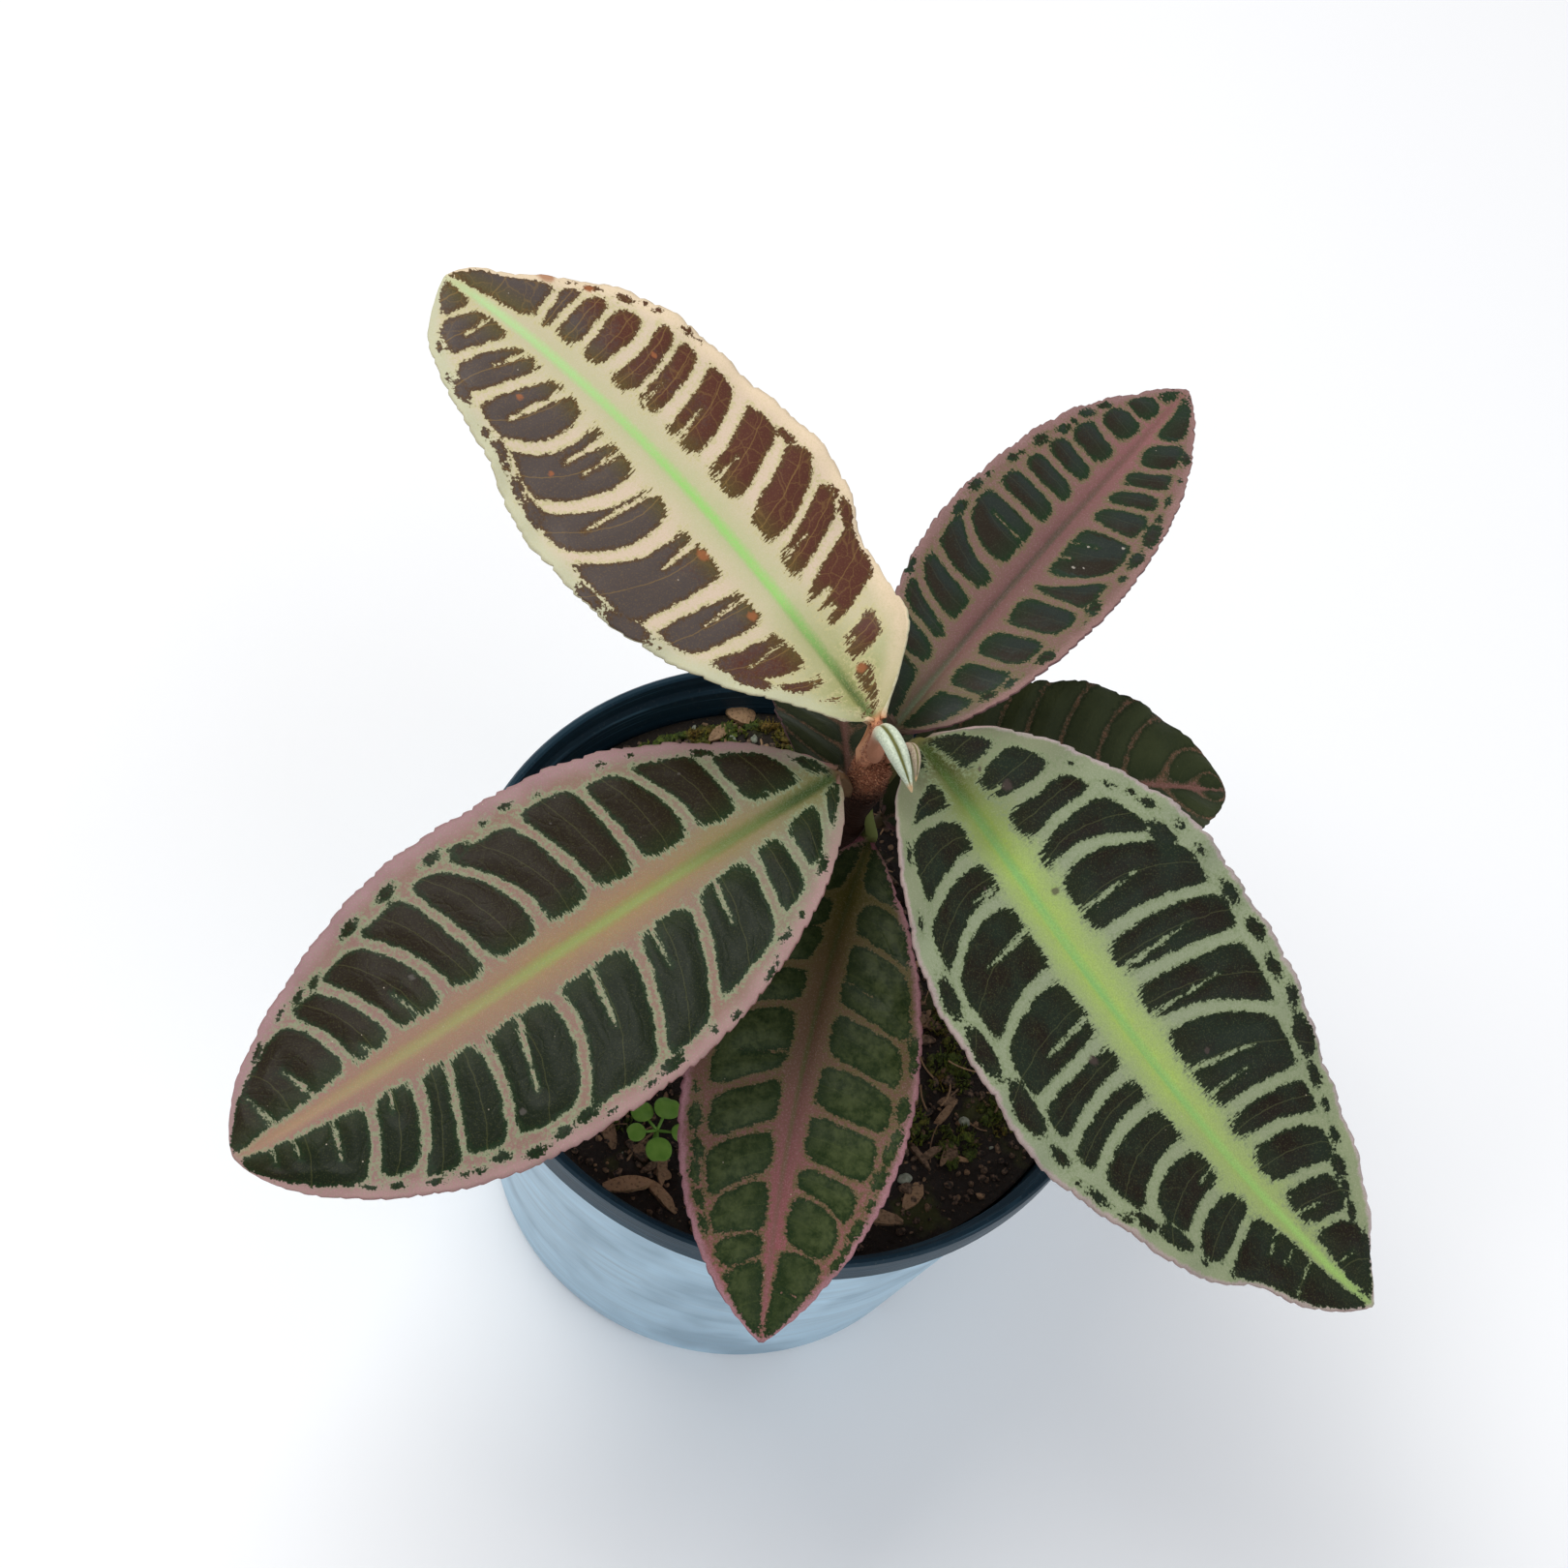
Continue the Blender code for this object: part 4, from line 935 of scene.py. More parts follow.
def pot_outline():
    """Half outline, from the inside floor up over the mouth and down to the underside."""
    band, ledge = POT_HEIGHT - LIP_BAND, POT_HEIGHT - LIP_LEDGE
    inner, step, ring = RIM_RADIUS - LIP_FLAT, band - LIP_EDGE, FOOT_RADIUS - FOOT_RING
    inside = [(0.0, FLOOR), (wall_radius(FLOOR) - WALL, FLOOR),
              (wall_radius(ledge) - WALL, ledge - LEDGE_DROP)]
    lip = [(inner - LIP_EDGE, ledge), (inner, POT_HEIGHT - LIP_DRAFT), (inner + LIP_EDGE, POT_HEIGHT),
           (RIM_RADIUS - LIP_EDGE, POT_HEIGHT), (RIM_RADIUS, POT_HEIGHT - 0.5),
           (RIM_RADIUS - LIP_DRAFT, band)]
    outside = [(wall_radius(step), step), (FOOT_RADIUS + FOOT_CHAMFER, FOOT_CHAMFER), (FOOT_RADIUS, 0.0),
               (ring, 0.0), (ring - 0.6, FOOT_RISE), (0.0, FOOT_RISE)]
    return inside + lip + outside


def turned(outline, turns):
    """A solid of revolution from a half outline that starts and ends on the axis."""
    bm = bmesh.new()
    points = [bm.verts.new((radius * MM, 0, z * MM)) for radius, z in outline]
    wires = [bm.edges.new(pair) for pair in zip(points, points[1:])]
    bmesh.ops.spin(bm, geom=points + wires, cent=(0, 0, 0), axis=(0, 0, 1), angle=2 * math.pi, steps=turns,
                   use_merge=True)
    bmesh.ops.remove_doubles(bm, verts=bm.verts, dist=0.01 * MM)
    bmesh.ops.recalc_face_normals(bm, faces=bm.faces)
    return bm


def cut_holes(obj, radius, circle, count, low, high):
    cutter_bm = bmesh.new()
    for index in range(count):
        turn = 2 * math.pi * (index + 0.5) / count
        at = Vector((circle * math.cos(turn), circle * math.sin(turn), (low + high) / 2))
        bmesh.ops.create_cone(cutter_bm, cap_ends=True, segments=32, radius1=radius * MM,
                              radius2=radius * MM, depth=(high - low) * MM,
                              matrix=Matrix.Translation(at * MM))
    cutter = add_object("drain_cutter", cutter_bm)
    cut = obj.modifiers.new("holes", "BOOLEAN")
    cut.object, cut.operation = cutter, "DIFFERENCE"
    graph = bpy.context.evaluated_depsgraph_get()
    mesh = bpy.data.meshes.new_from_object(obj.evaluated_get(graph))
    obj.modifiers.clear()
    obj.data = mesh
    bpy.data.objects.remove(cutter)


# %% [markdown]
# Thin black plastic is never one black: the moulded inside is satin and blue-black, the mouth shows fine
# bright lines along its edge, part mould lines and wear and part painted highlight, and the outer wall
# carries a pale blue-grey that is painted reflection of the bright room, with long faint streaks round it.
# The streaks are noise that is long sideways and very short upwards.

# %% The pot's plastic
def plastic_finish(name, base, streak, amount, smudge, roughness):
    f = Finish(name)
    fine = f.cloud(1.0, 3.0, f.stretched(26.0, 26.0, 0.30))
    broad = f.cloud(1.0, 2.0, f.stretched(40.0, 40.0, 2.4))
    dust = f.cloud(0.6).above(0.2, 0.15)
    colour = f.coats(base, (broad.above(0.0, 0.5), tuple(c * 1.5 for c in base)),
                     ((f.cloud(14.0) + broad * 0.5).above(0.08, 0.2) * smudge, streak),
                     (fine.above(0.13, 0.12) * amount, streak), (dust * 0.12, (0.25, 0.24, 0.22)))
    scratch = f.cloud(1.0, 4.0, f.stretched(9.0, 9.0, 0.8))
    return f.finish(colour, broad * 0.2 + scratch * 0.15 + roughness, fine * 0.05 + f.cloud(0.4) * 0.015,
                    Specular_IOR_Level=0.17)


# the black's pale blue streaks are partly mould lines and wear and partly painted highlight round the mouth
black = plastic_finish("black_plastic", (0.009, 0.027, 0.043), (0.06, 0.14, 0.20), 0.6, 0.1, 0.40)
# painted reflection: the outer wall's pale blue-grey stands for the bright room mirrored in the black
# plastic
painted_reflection = plastic_finish("painted_reflection_plastic", (0.33, 0.465, 0.56), (0.19, 0.29, 0.37), 0.25, 0.6, 0.42)

pot = add_object("pot_dressed", turned(pot_outline(), POT_TURNS), black, painted_reflection)
cut_holes(pot, DRAIN_RADIUS, DRAIN_CIRCLE, DRAIN_HOLES, -1.0, FLOOR + 1.0)
BAND_FOOT = (POT_HEIGHT - LIP_BAND - LIP_DRAFT) * MM
CREASE = math.radians(30)
# the outer wall below the band takes the painted reflection
for face in pot.data.polygons:
    out = Vector((face.center.x, face.center.y, 0)).normalized()
    if face.normal.dot(out) > 0.3 and face.center.z < BAND_FOOT:
        face.material_index = 1
pot.data.shade_smooth()
pot.data.set_sharp_from_angle(angle=CREASE)
bevel = pot.modifiers.new("soft edges", "BEVEL")
bevel.width, bevel.segments, bevel.angle_limit = 0.12 * MM, 2, CREASE
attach(pot, "root")
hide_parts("pot")
print("pot turned in", POT_TURNS, "steps,", len(pot.data.polygons), "faces")


# %% [markdown]
# The mix is a dark plug of peat and bark that fills the pot to a little under the mouth. A square grid bent
# into a disc gives an even top with no pole in the middle; noise makes it lumpy, and its border is drawn
# down to the floor and closed. Loose bark, crumbs, fibres and moss go on top as pieces of their own.

# %% The plug of potting mix
SOIL_LEVEL, SOIL_ROUGHNESS, SOIL_GRAIN = 61.5, 1.5, 9.0
SOIL_GAP = 0.4
SOIL_CELLS = 130
SOIL_SKIRT = 6.0  # depth of the first ring under the top
SOIL_LUMPS = ((3.1, 1.1, 4.0), (1.3, 0.5, 9.0))  # size, height and the level where the noise is read


def soil_radius(z):
    return wall_radius(z) - WALL - SOIL_GAP


def soil_height(x, y):
    """The rolling bumps of the solid, with finer lumps on them that die out at the wall."""
    edge = max(1.0 - (math.hypot(x, y) / soil_radius(SOIL_LEVEL)) ** 6, 0.0)
    rolling = SOIL_ROUGHNESS * noise.noise(Vector((x / SOIL_GRAIN, y / SOIL_GRAIN, 0.3)))
    lumps = sum(high * noise.noise(Vector((x / size, y / size, at))) for size, high, at in SOIL_LUMPS)
    return SOIL_LEVEL + (rolling + lumps) * edge


soil_bm = bmesh.new()
bmesh.ops.create_grid(soil_bm, x_segments=SOIL_CELLS, y_segments=SOIL_CELLS, size=1.0)
top_radius, floor_z = soil_radius(SOIL_LEVEL), FLOOR + SOIL_GAP
for vert in soil_bm.verts:
    u, v = vert.co.x, vert.co.y
    x, y = u * math.sqrt(1 - v * v / 2) * top_radius, v * math.sqrt(1 - u * u / 2) * top_radius
    vert.co = Vector((x, y, soil_height(x, y))) * MM
border = [edge for edge in soil_bm.edges if edge.is_boundary]
for depth in (SOIL_SKIRT, SOIL_LEVEL - floor_z):
    drawn = bmesh.ops.extrude_edge_only(soil_bm, edges=border)["geom"]
    border = [item for item in drawn if isinstance(item, bmesh.types.BMEdge)]
    border = [edge for edge in border if edge.is_boundary]
    shrink = soil_radius(SOIL_LEVEL - depth) / top_radius
    for vert in {vert for edge in border for vert in edge.verts}:
        flat = Vector((vert.co.x, vert.co.y, 0)).normalized() * top_radius * shrink * MM
        vert.co = flat + Vector((0, 0, (SOIL_LEVEL - depth) * MM))
bmesh.ops.holes_fill(soil_bm, edges=border, sides=0)
bmesh.ops.recalc_face_normals(soil_bm, faces=soil_bm.faces)

soil_finish = Finish("peat")
crumb = soil_finish.cloud(0.9, 3.0)
earth = soil_finish.coats((0.005, 0.004, 0.003), (crumb + 0.5, (0.026, 0.016, 0.009)),
                          (soil_finish.cloud(7.0).above(0.12, 0.1) * 0.8, (0.050, 0.058, 0.010)),
                          (soil_finish.cloud(0.5).above(0.2, 0.08) * 0.6, (0.24, 0.14, 0.06)))
peat = soil_finish.finish(earth, crumb * 0.2 + 0.85, crumb * 0.6)
soil = add_object("potting_mix_dressed", soil_bm, peat)
soil.data.shade_smooth()
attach(soil, "root")
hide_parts("potting_mix")
print("potting mix:", len(soil.data.polygons), "faces")


# %% [markdown]
# Bark splinters, crumbs and root fibres lie where they fell. Each is a tiny bmesh primitive, squeezed and
# turned by a seeded draw and dropped on the height of the mix; a number stored on its points gives each its
# own tone.

# %% Litter on the mix
LITTER_SEED = 7
LITTER_EDGE = 2.0
SPLINTERS, CRUMBS, FIBRES = 230, 1900, 170
STEM_CLEAR = 3.0  # nothing lies nearer to the axis
TO_METRES = Matrix.Diagonal((MM, MM, MM, 1))
BATCH = 24
draw = random.Random(LITTER_SEED)


def tone_layer(bm):
    return bm.verts.layers.float.new("tone")


def heap(makers):
    """One bmesh of many small shapes, a few at a time because an operator walks over a whole mesh."""
    whole = bmesh.new()
    tone_layer(whole)
    for start in range(0, len(makers), BATCH):
        part = bmesh.new()
        layer = tone_layer(part)
        for make in makers[start:start + BATCH]:
            make(part, layer)
        mesh = bpy.data.meshes.new("part")
        part.to_mesh(mesh)
        part.free()
        whole.from_mesh(mesh)
        bpy.data.meshes.remove(mesh)
    return whole


def toned(verts, layer, tone):
    for vert in verts:
        vert[layer] = tone


def dropped(bm, verts, layer, x, y, lift, turn, tilt, sizes, tone):
    """Scales a unit shape to sizes in millimetres, turns it, and sets it down on the mix."""
    spun = Matrix.Rotation(turn, 4, "Z") @ Matrix.Rotation(tilt, 4, "Y")
    place = Matrix.Translation(Vector((x, y, soil_height(x, y) + lift)) * MM)
    scaled = Matrix.Diagonal((*(s * MM for s in sizes), 1.0))
    bmesh.ops.transform(bm, matrix=place @ spun @ scaled, verts=verts)
    toned(verts, layer, tone)


def anywhere(reach):
    """A point on the mix, evenly spread over the ring between the stem and reach."""
    radius, turn = math.sqrt(draw.uniform(STEM_CLEAR**2, reach**2)), draw.uniform(0, 2 * math.pi)
    return radius * math.cos(turn), radius * math.sin(turn)


def splinter(bm, layer, x, y, turn, length, width, thick, tone):
    """A strip of bark with torn, tapered ends and a slight bow."""
    made = bmesh.ops.create_grid(bm, x_segments=7, y_segments=2, size=0.5)["verts"]
    faces = list({face for vert in made for face in vert.link_faces})
    solid = bmesh.ops.extrude_face_region(bm, geom=faces)["geom"]
    upper = [item for item in solid if isinstance(item, bmesh.types.BMVert)]
    for vert in upper:
        vert.co.z += 0.9
    verts = made + upper
    skew = draw.uniform(-0.2, 0.2)
    for vert in verts:
        taper = 1.0 - 0.75 * abs(2 * vert.co.x) ** draw.uniform(2.2, 3.0)
        vert.co.y = vert.co.y * taper + skew * vert.co.x + draw.uniform(-0.05, 0.05)
        bow = vert.co.z * (1 - 0.5 * abs(2 * vert.co.x) ** 2) - 1.2 * vert.co.x**2
        vert.co.z = bow + draw.uniform(-0.08, 0.08)
    tilt = draw.uniform(-0.25, 0.25)
    dropped(bm, verts, layer, x, y, 0.1 * thick, turn, tilt, (length, width, thick), tone)


def crumb_of(bm, layer, x, y, size, tone, rounds=1, ragged=0.22):
    made = bmesh.ops.create_icosphere(bm, subdivisions=rounds, radius=0.5)["verts"]
    sizes = [size * draw.uniform(0.6, 1.3) for _ in range(2)] + [size * draw.uniform(0.4, 0.8)]
    for vert in made:
        vert.co *= draw.uniform(1 - ragged, 1 + ragged)
    dropped(bm, made, layer, x, y, size * 0.15, draw.uniform(0, 6.28), draw.uniform(-1, 1), sizes, tone)


def fibre(bm, layer, x, y, turn, bend, thick, arc, tone):
    """A root hair or twig: a small ring of points swept along an arc that leans out of the mix."""
    upright = Matrix.Translation((bend * MM, 0, 0)) @ Matrix.Rotation(math.pi / 2, 4, "X")
    ring = bmesh.ops.create_circle(bm, cap_ends=True, segments=5, radius=thick * MM, matrix=upright)
    faces = list({face for vert in ring["verts"] for face in vert.link_faces})
    before = set(bm.verts) - set(ring["verts"])
    edges = list({edge for vert in ring["verts"] for edge in vert.link_edges})
    bmesh.ops.spin(bm, geom=faces + ring["verts"] + edges, cent=(0, 0, 0), axis=(0, 0, 1), angle=arc,
                   steps=8)
    verts = [vert for vert in bm.verts if vert not in before]
    centre = Matrix.Translation((-bend * math.cos(arc / 2) * MM, -bend * math.sin(arc / 2) * MM, 0))
    lean = Matrix.Rotation(draw.uniform(-0.22, 0.22), 4, "X")
    lean = lean @ Matrix.Rotation(draw.uniform(-0.15, 0.15), 4, "Y")
    down = Matrix.Translation(Vector((x, y, soil_height(x, y) + 0.7)) * MM)
    bmesh.ops.transform(bm, matrix=down @ Matrix.Rotation(turn, 4, "Z") @ lean @ centre, verts=verts)
    toned(verts, layer, tone)


litter_reach = soil_radius(SOIL_LEVEL) - LITTER_EDGE
# chips that stand out: x, y, turn, length, width and tone
SEEN_CHIPS = ((-12.8, -43.4, 0.4, 8.5, 2.3, 0.95), (-7.2, -43.0, -0.55, 7.0, 1.7, 0.8),
              (-8.5, -38.5, 1.9, 6.5, 1.6, 0.6), (-20.7, 43.0, 0.3, 5.5, 3.4, 1.0),
              (-23.0, 38.4, 0.9, 5.0, 2.0, 0.7), (25.0, -34.5, 0.2, 7.5, 2.2, 0.5),
              (29.0, -29.0, 1.2, 5.0, 2.6, 0.75), (18.0, -39.5, 0.1, 6.0, 1.6, 0.65),
              (-18.0, -36.0, 2.2, 6.0, 2.0, 0.5))
pieces = [partial(splinter, x=x, y=y, turn=turn, length=length, width=width, thick=1.0, tone=tone)
          for x, y, turn, length, width, tone in SEEN_CHIPS]
for _ in range(SPLINTERS):
    x, y = anywhere(litter_reach - 3.0)
    pieces.append(partial(splinter, x=x, y=y, turn=draw.uniform(0, 3.14), length=draw.uniform(2.5, 7.5),
                          width=draw.uniform(0.6, 2.0), thick=draw.uniform(0.5, 1.1),
                          tone=draw.random() ** 2.4))
for _ in range(CRUMBS):
    x, y = anywhere(litter_reach + 0.7)
    pieces.append(partial(crumb_of, x=x, y=y, size=draw.uniform(0.4, 1.6), tone=draw.random() ** 4 * 0.8))
for _ in range(FIBRES):
    x, y = anywhere(litter_reach - 4.0)
    pieces.append(partial(fibre, x=x, y=y, turn=draw.uniform(0, 6.28), bend=draw.uniform(4.0, 12.0),
                          thick=draw.uniform(0.09, 0.2), arc=draw.uniform(0.3, 0.8),
                          tone=draw.uniform(0.3, 1.0)))
litter_bm = heap(pieces)
bmesh.ops.recalc_face_normals(litter_bm, faces=litter_bm.faces)

bark = Finish("bark_litter")
streaks = bark.cloud(1.0, 3.0, bark.stretched(0.5, 0.5, 0.5))
wood = bark.coats((0.012, 0.007, 0.004), (bark.stored("tone"), (0.44, 0.27, 0.14)),
                  (streaks.above(0.05, 0.25) * 0.45, (0.42, 0.27, 0.17)),
                  (streaks.below(-0.12, 0.15) * 0.6, (0.012, 0.008, 0.005)))
litter = add_object("bark_litter", litter_bm, bark.finish(wood, streaks * 0.2 + 0.75, streaks * 0.25))
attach(litter, "root")
print("litter:", len(litter.data.polygons), "faces")


# %% [markdown]
# Moss grows in small cushions between the bark, bright where it is fresh and brown where it is dry, and a
# few pale grains of pumice lie on top. The cushions under the leaves are drawn darker as painted shade. A
# cushion is a crowd of short three-sided leaflets over some round lumps; a leaflet has only five faces,
# because there are hundreds.

# %% Moss and pale grains
# x, y and radius of each cushion
FRESH_CUSHIONS = ((-32.0, 35.5, 3.6), (-28.8, 39.5, 3.4), (-24.2, 41.5, 2.8), (-18.5, 43.6, 2.6),
                  (-14.5, 43.9, 3.2), (-11.5, 40.8, 3.0), (-26.0, 35.5, 2.6), (-21.5, 38.8, 2.6),
                  (-6.8, 43.6, 2.8), (-34.8, 31.0, 2.6), (-29.0, 37.0, 2.4), (-25.5, 39.5, 2.2),
                  (-17.0, 44.5, 2.2), (-30.0, -22.0, 5.0), (-38.0, 8.0, 5.0), (8.0, 41.0, 5.0),
                  (30.0, 28.0, 6.0))
# painted shade: these cushions lie under the leaves and are drawn darker for the shade there
SHADED_CUSHIONS = ((-18.0, -33.0, 3.0), (26.5, 1.0, 4.0), (28.5, -6.5, 4.2), (33.0, -18.5, 4.0),
                (38.0, -11.0, 3.6), (25.5, -17.5, 3.6), (19.0, -29.5, 3.6), (-2.0, -36.0, 3.0))
# painted shade: how bright a cushion under the leaves is, against one in the open
PAINTED_SHADE_TONE = 0.4  # how bright a dry cushion is, against a fresh one
MOSS_DENSITY = 7.0  # leaflets to a square millimetre
CUSHION_LUMPS = 24
MOSS_GAPS = 2.2  # size of the bare places in a cushion
LEAFLET, LEAFLET_RADIUS = 1.5, 0.24


def within(cx, cy, radius):
    """A point in the circle round cx, cy, and how far out it lies."""
    out, turn = radius * math.sqrt(draw.random()), draw.uniform(0, 2 * math.pi)
    return cx + out * math.cos(turn), cy + out * math.sin(turn), out


def leaflet(bm, layer, x, y, height, tone):
    raised = Matrix.Translation((0, 0, 0.35))
    made = bmesh.ops.create_cone(bm, cap_ends=True, segments=3, radius1=LEAFLET_RADIUS, radius2=0.02,
                                 depth=1.0, matrix=raised)["verts"]
    turn, tilt = draw.uniform(0, 6.28), draw.uniform(-0.9, 0.9)
    dropped(bm, made, layer, x, y, 0.2, turn, tilt, (1, 1, height), tone)


leaflets = []
cushions = [(*row, 1.0) for row in FRESH_CUSHIONS] + [(*row, PAINTED_SHADE_TONE) for row in SHADED_CUSHIONS]
for cx, cy, spread, bright in cushions:
    for _ in range(CUSHION_LUMPS):
        x, y, _ = within(cx, cy, spread * 0.8)
        pull = min(1.0, (litter_reach - 0.6) / math.hypot(x, y))
        leaflets.append(partial(crumb_of, x=x * pull, y=y * pull, rounds=2, size=draw.uniform(0.7, 1.7),
                                tone=draw.uniform(0.0, 0.2)))
    for _ in range(round(MOSS_DENSITY * math.pi * spread**2 / 2)):
        x, y, out = within(cx, cy, spread)
        bare = noise.noise(Vector((x / MOSS_GAPS, y / MOSS_GAPS, 30))) < -0.12
        if bare or math.hypot(x, y) > litter_reach:
            continue
        height = LEAFLET * draw.uniform(0.6, 1.5) * (1.2 - 0.5 * out / spread)
        leaflets.append(partial(leaflet, x=x, y=y, height=height, tone=draw.random() * bright))
moss_bm = heap(leaflets)
moss_finish = Finish("moss")
green = moss_finish.coats((0.05, 0.085, 0.009), (moss_finish.stored("tone"), (0.36, 0.44, 0.045)),
                          (moss_finish.cloud(5.0).above(0.08, 0.2) * 0.7, (0.26, 0.13, 0.025)),
                          (moss_finish.cloud(0.5).below(-0.02, 0.1) * 0.7, (0.018, 0.022, 0.004)))
moss = add_object("moss", moss_bm, moss_finish.finish(green, 0.85, moss_finish.cloud(0.35) * 0.3))
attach(moss, "root")

# x, y and size of the grains that stand out, and the number of the rest
SEEN_GRAINS = ((33.3, -13.9, 2.6), (27.0, -26.9, 2.2), (24.0, -32.5, 2.6), (-3.5, -30.0, 1.6),
               (-27.3, 37.6, 1.2))
OTHER_GRAINS = 26
GRAIN_PITS = 0.6
pebbles = [partial(crumb_of, x=x, y=y, size=size, tone=0.5, rounds=3, ragged=0.02)
           for x, y, size in SEEN_GRAINS]
for _ in range(OTHER_GRAINS):
    x, y = anywhere(litter_reach - 1.0)
    pebbles.append(partial(crumb_of, x=x, y=y, size=draw.uniform(0.5, 1.3), tone=0.5, rounds=2))
grain_bm = heap(pebbles)
for vert in grain_bm.verts:
    vert.co += Vector(noise.noise_vector(vert.co / (GRAIN_PITS * MM))) * 0.12 * MM
pumice = Finish("pumice")
pale_grain = pumice.blend(pumice.cloud(0.7).above(0.0, 0.4), (0.42, 0.45, 0.36), (0.16, 0.19, 0.13))
grains = add_object("pale_grains", grain_bm, pumice.finish(pale_grain, 0.85, pumice.cloud(0.35) * 0.15))
grains.data.shade_smooth()
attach(grains, "root")
print("moss:", len(moss.data.polygons), "faces, grains:", len(grains.data.polygons))


# %% [markdown]
# One short woody stem stands in the mix. A cylinder is cut into many rings, and each ring is moved to the
# stem's own centre and radius, with leaf scars as low ridges. The crown is felted with rust-brown scurf:
# small pointed scales, one cone each, set over the top of the stem and up the youngest stalk, which a thin
# sleeve of felt wraps as well. Under the crown the bark and the lower scales are darkened as painted shade.

# %% The stem and its scurf
STEM_RINGS, STEM_SIDES = 120, 40
SCARS = ((70.0, 0.35), (76.0, 0.3), (82.0, 0.35), (86.5, 0.3), (90.5, 0.35), (95.5, 0.4), (99.5, 0.4),
         (104.0, 0.3), (112.0, 0.35), (117.0, 0.3))  # height and swelling of each leaf scar
SCAR_HALF, BARK_BUMPS = 0.55, 0.18
DOME_FOOT, DOME_HEIGHT = 119.0, 2.05  # where the top of the stem starts to close, and over what height
SCURF_COUNT, SCURF_SEED, SCURF_TOP, SCURF_SPAN = 1500, 3, 121.0, 8.0
# painted shade: under these heights the bark and the lower scales are darkened, for the shade beneath the
# crown
BARK_PAINTED_SHADE, SCURF_PAINTED_SHADE = (116.5, 4.0), (117.5, 3.5)  # height under which it is dark, and how softly
SLEEVE_FOOT, SLEEVE_TIP = 1.25, 0.8  # radius of the felt round the youngest stalk
SLEEVE_SIDES, SLEEVE_SCALES, SLEEVE_ROUGH = 20, 700, 0.12
STALK_POINTS = 60
STALK_LAST = STALK_POINTS - 2


def stem_surface(z, turn):
    """A point on the bark at this height and turn, in millimetres."""
    x, y, radius = stem_at(z)
    ridge = sum(high * math.exp(-(((z - at) / SCAR_HALF) ** 2)) for at, high in SCARS)
    bumps = BARK_BUMPS * noise.noise(Vector((3 * math.cos(turn), 3 * math.sin(turn), z / 2.5)))
    close = math.sqrt(max(0.0, 1 - max(0.0, (z - DOME_FOOT) / DOME_HEIGHT) ** 2))
    radius = (radius + ridge * 0.6 + bumps) * close
    return Vector((x + radius * math.cos(turn), y + radius * math.sin(turn), z))


def tube(sides, cuts):
    """An upright cylinder of radius 1 and height 1, cut into rings."""
    bm = bmesh.new()
    bmesh.ops.create_cone(bm, cap_ends=True, segments=sides, radius1=1.0, radius2=1.0, depth=1.0)
    uprights = [edge for edge in bm.edges if abs(edge.verts[0].co.z - edge.verts[1].co.z) > 0.5]
    bmesh.ops.subdivide_edges(bm, edges=uprights, cuts=cuts)
    return bm


stem_bm = tube(STEM_SIDES, STEM_RINGS - 1)
for vert in stem_bm.verts:
    z = mix(STEM[0][0], STEM[-1][0], vert.co.z + 0.5)
    vert.co = stem_surface(z, math.atan2(vert.co.y, vert.co.x)) * MM

rind = Finish("bark_rind")
bands = rind.cloud(1.0, 3.0, rind.stretched(2.2, 2.2, 0.5))
flecks = rind.cloud(0.35)
# the last coat is painted shade: the bark under the crown goes near black
brown = rind.coats((0.11, 0.042, 0.022), (bands.above(0.0, 0.4), (0.27, 0.105, 0.056)),
                   (flecks.above(0.1, 0.15) * 0.7, (0.46, 0.23, 0.13)),
                   ((rind.height() + bands * 6.0).below(*BARK_PAINTED_SHADE) * 0.93, (0.012, 0.006, 0.004)))
bark_relief = bands * 0.25 + flecks * 0.12
stem = add_object("stem_dressed", stem_bm,
                  rind.finish(brown, flecks * 0.2 + 0.75, bark_relief, Specular_IOR_Level=0.12))
stem.data.shade_smooth()
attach(stem, "root")
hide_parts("stem")


def scale_at(bm, layer, root, out, length, width, tone):
    """A pointed scale with its foot at root, leaning the way of out."""
    raised = Matrix.Translation((0, 0, length * 0.42))
    made = bmesh.ops.create_cone(bm, cap_ends=True, segments=3, radius1=width, radius2=width * 0.1,
                                 depth=length, matrix=raised)["verts"]
    turn = Vector((0, 0, 1)).rotation_difference(out.normalized()).to_matrix().to_4x4()
    bmesh.ops.transform(bm, matrix=Matrix.Translation(root * MM) @ turn @ TO_METRES, verts=made)
    toned(made, layer, tone)


draw = random.Random(SCURF_SEED)
scales = []
for _ in range(SCURF_COUNT):
    z, turn = SCURF_TOP - SCURF_SPAN * draw.random() ** 1.3, draw.uniform(0, 2 * math.pi)
    out = Vector((math.cos(turn), math.sin(turn), draw.uniform(0.2, 1.6)))
    scales.append(partial(scale_at, root=stem_surface(z, turn), out=out, length=draw.uniform(0.2, 0.55),
                          width=draw.uniform(0.07, 0.14), tone=draw.random()))
stalk = petiole_form(LEAVES[0], np.linspace(0, 1, STALK_POINTS), np.zeros(STALK_POINTS))


def inside_stalk(at):
    """The middle of the youngest stalk at one of its points, and the way it runs."""
    here, ahead = Vector(stalk[at]), Vector(stalk[at + 1])
    return here - Vector((0, 0, PETIOLE / 2)), (ahead - here).normalized()


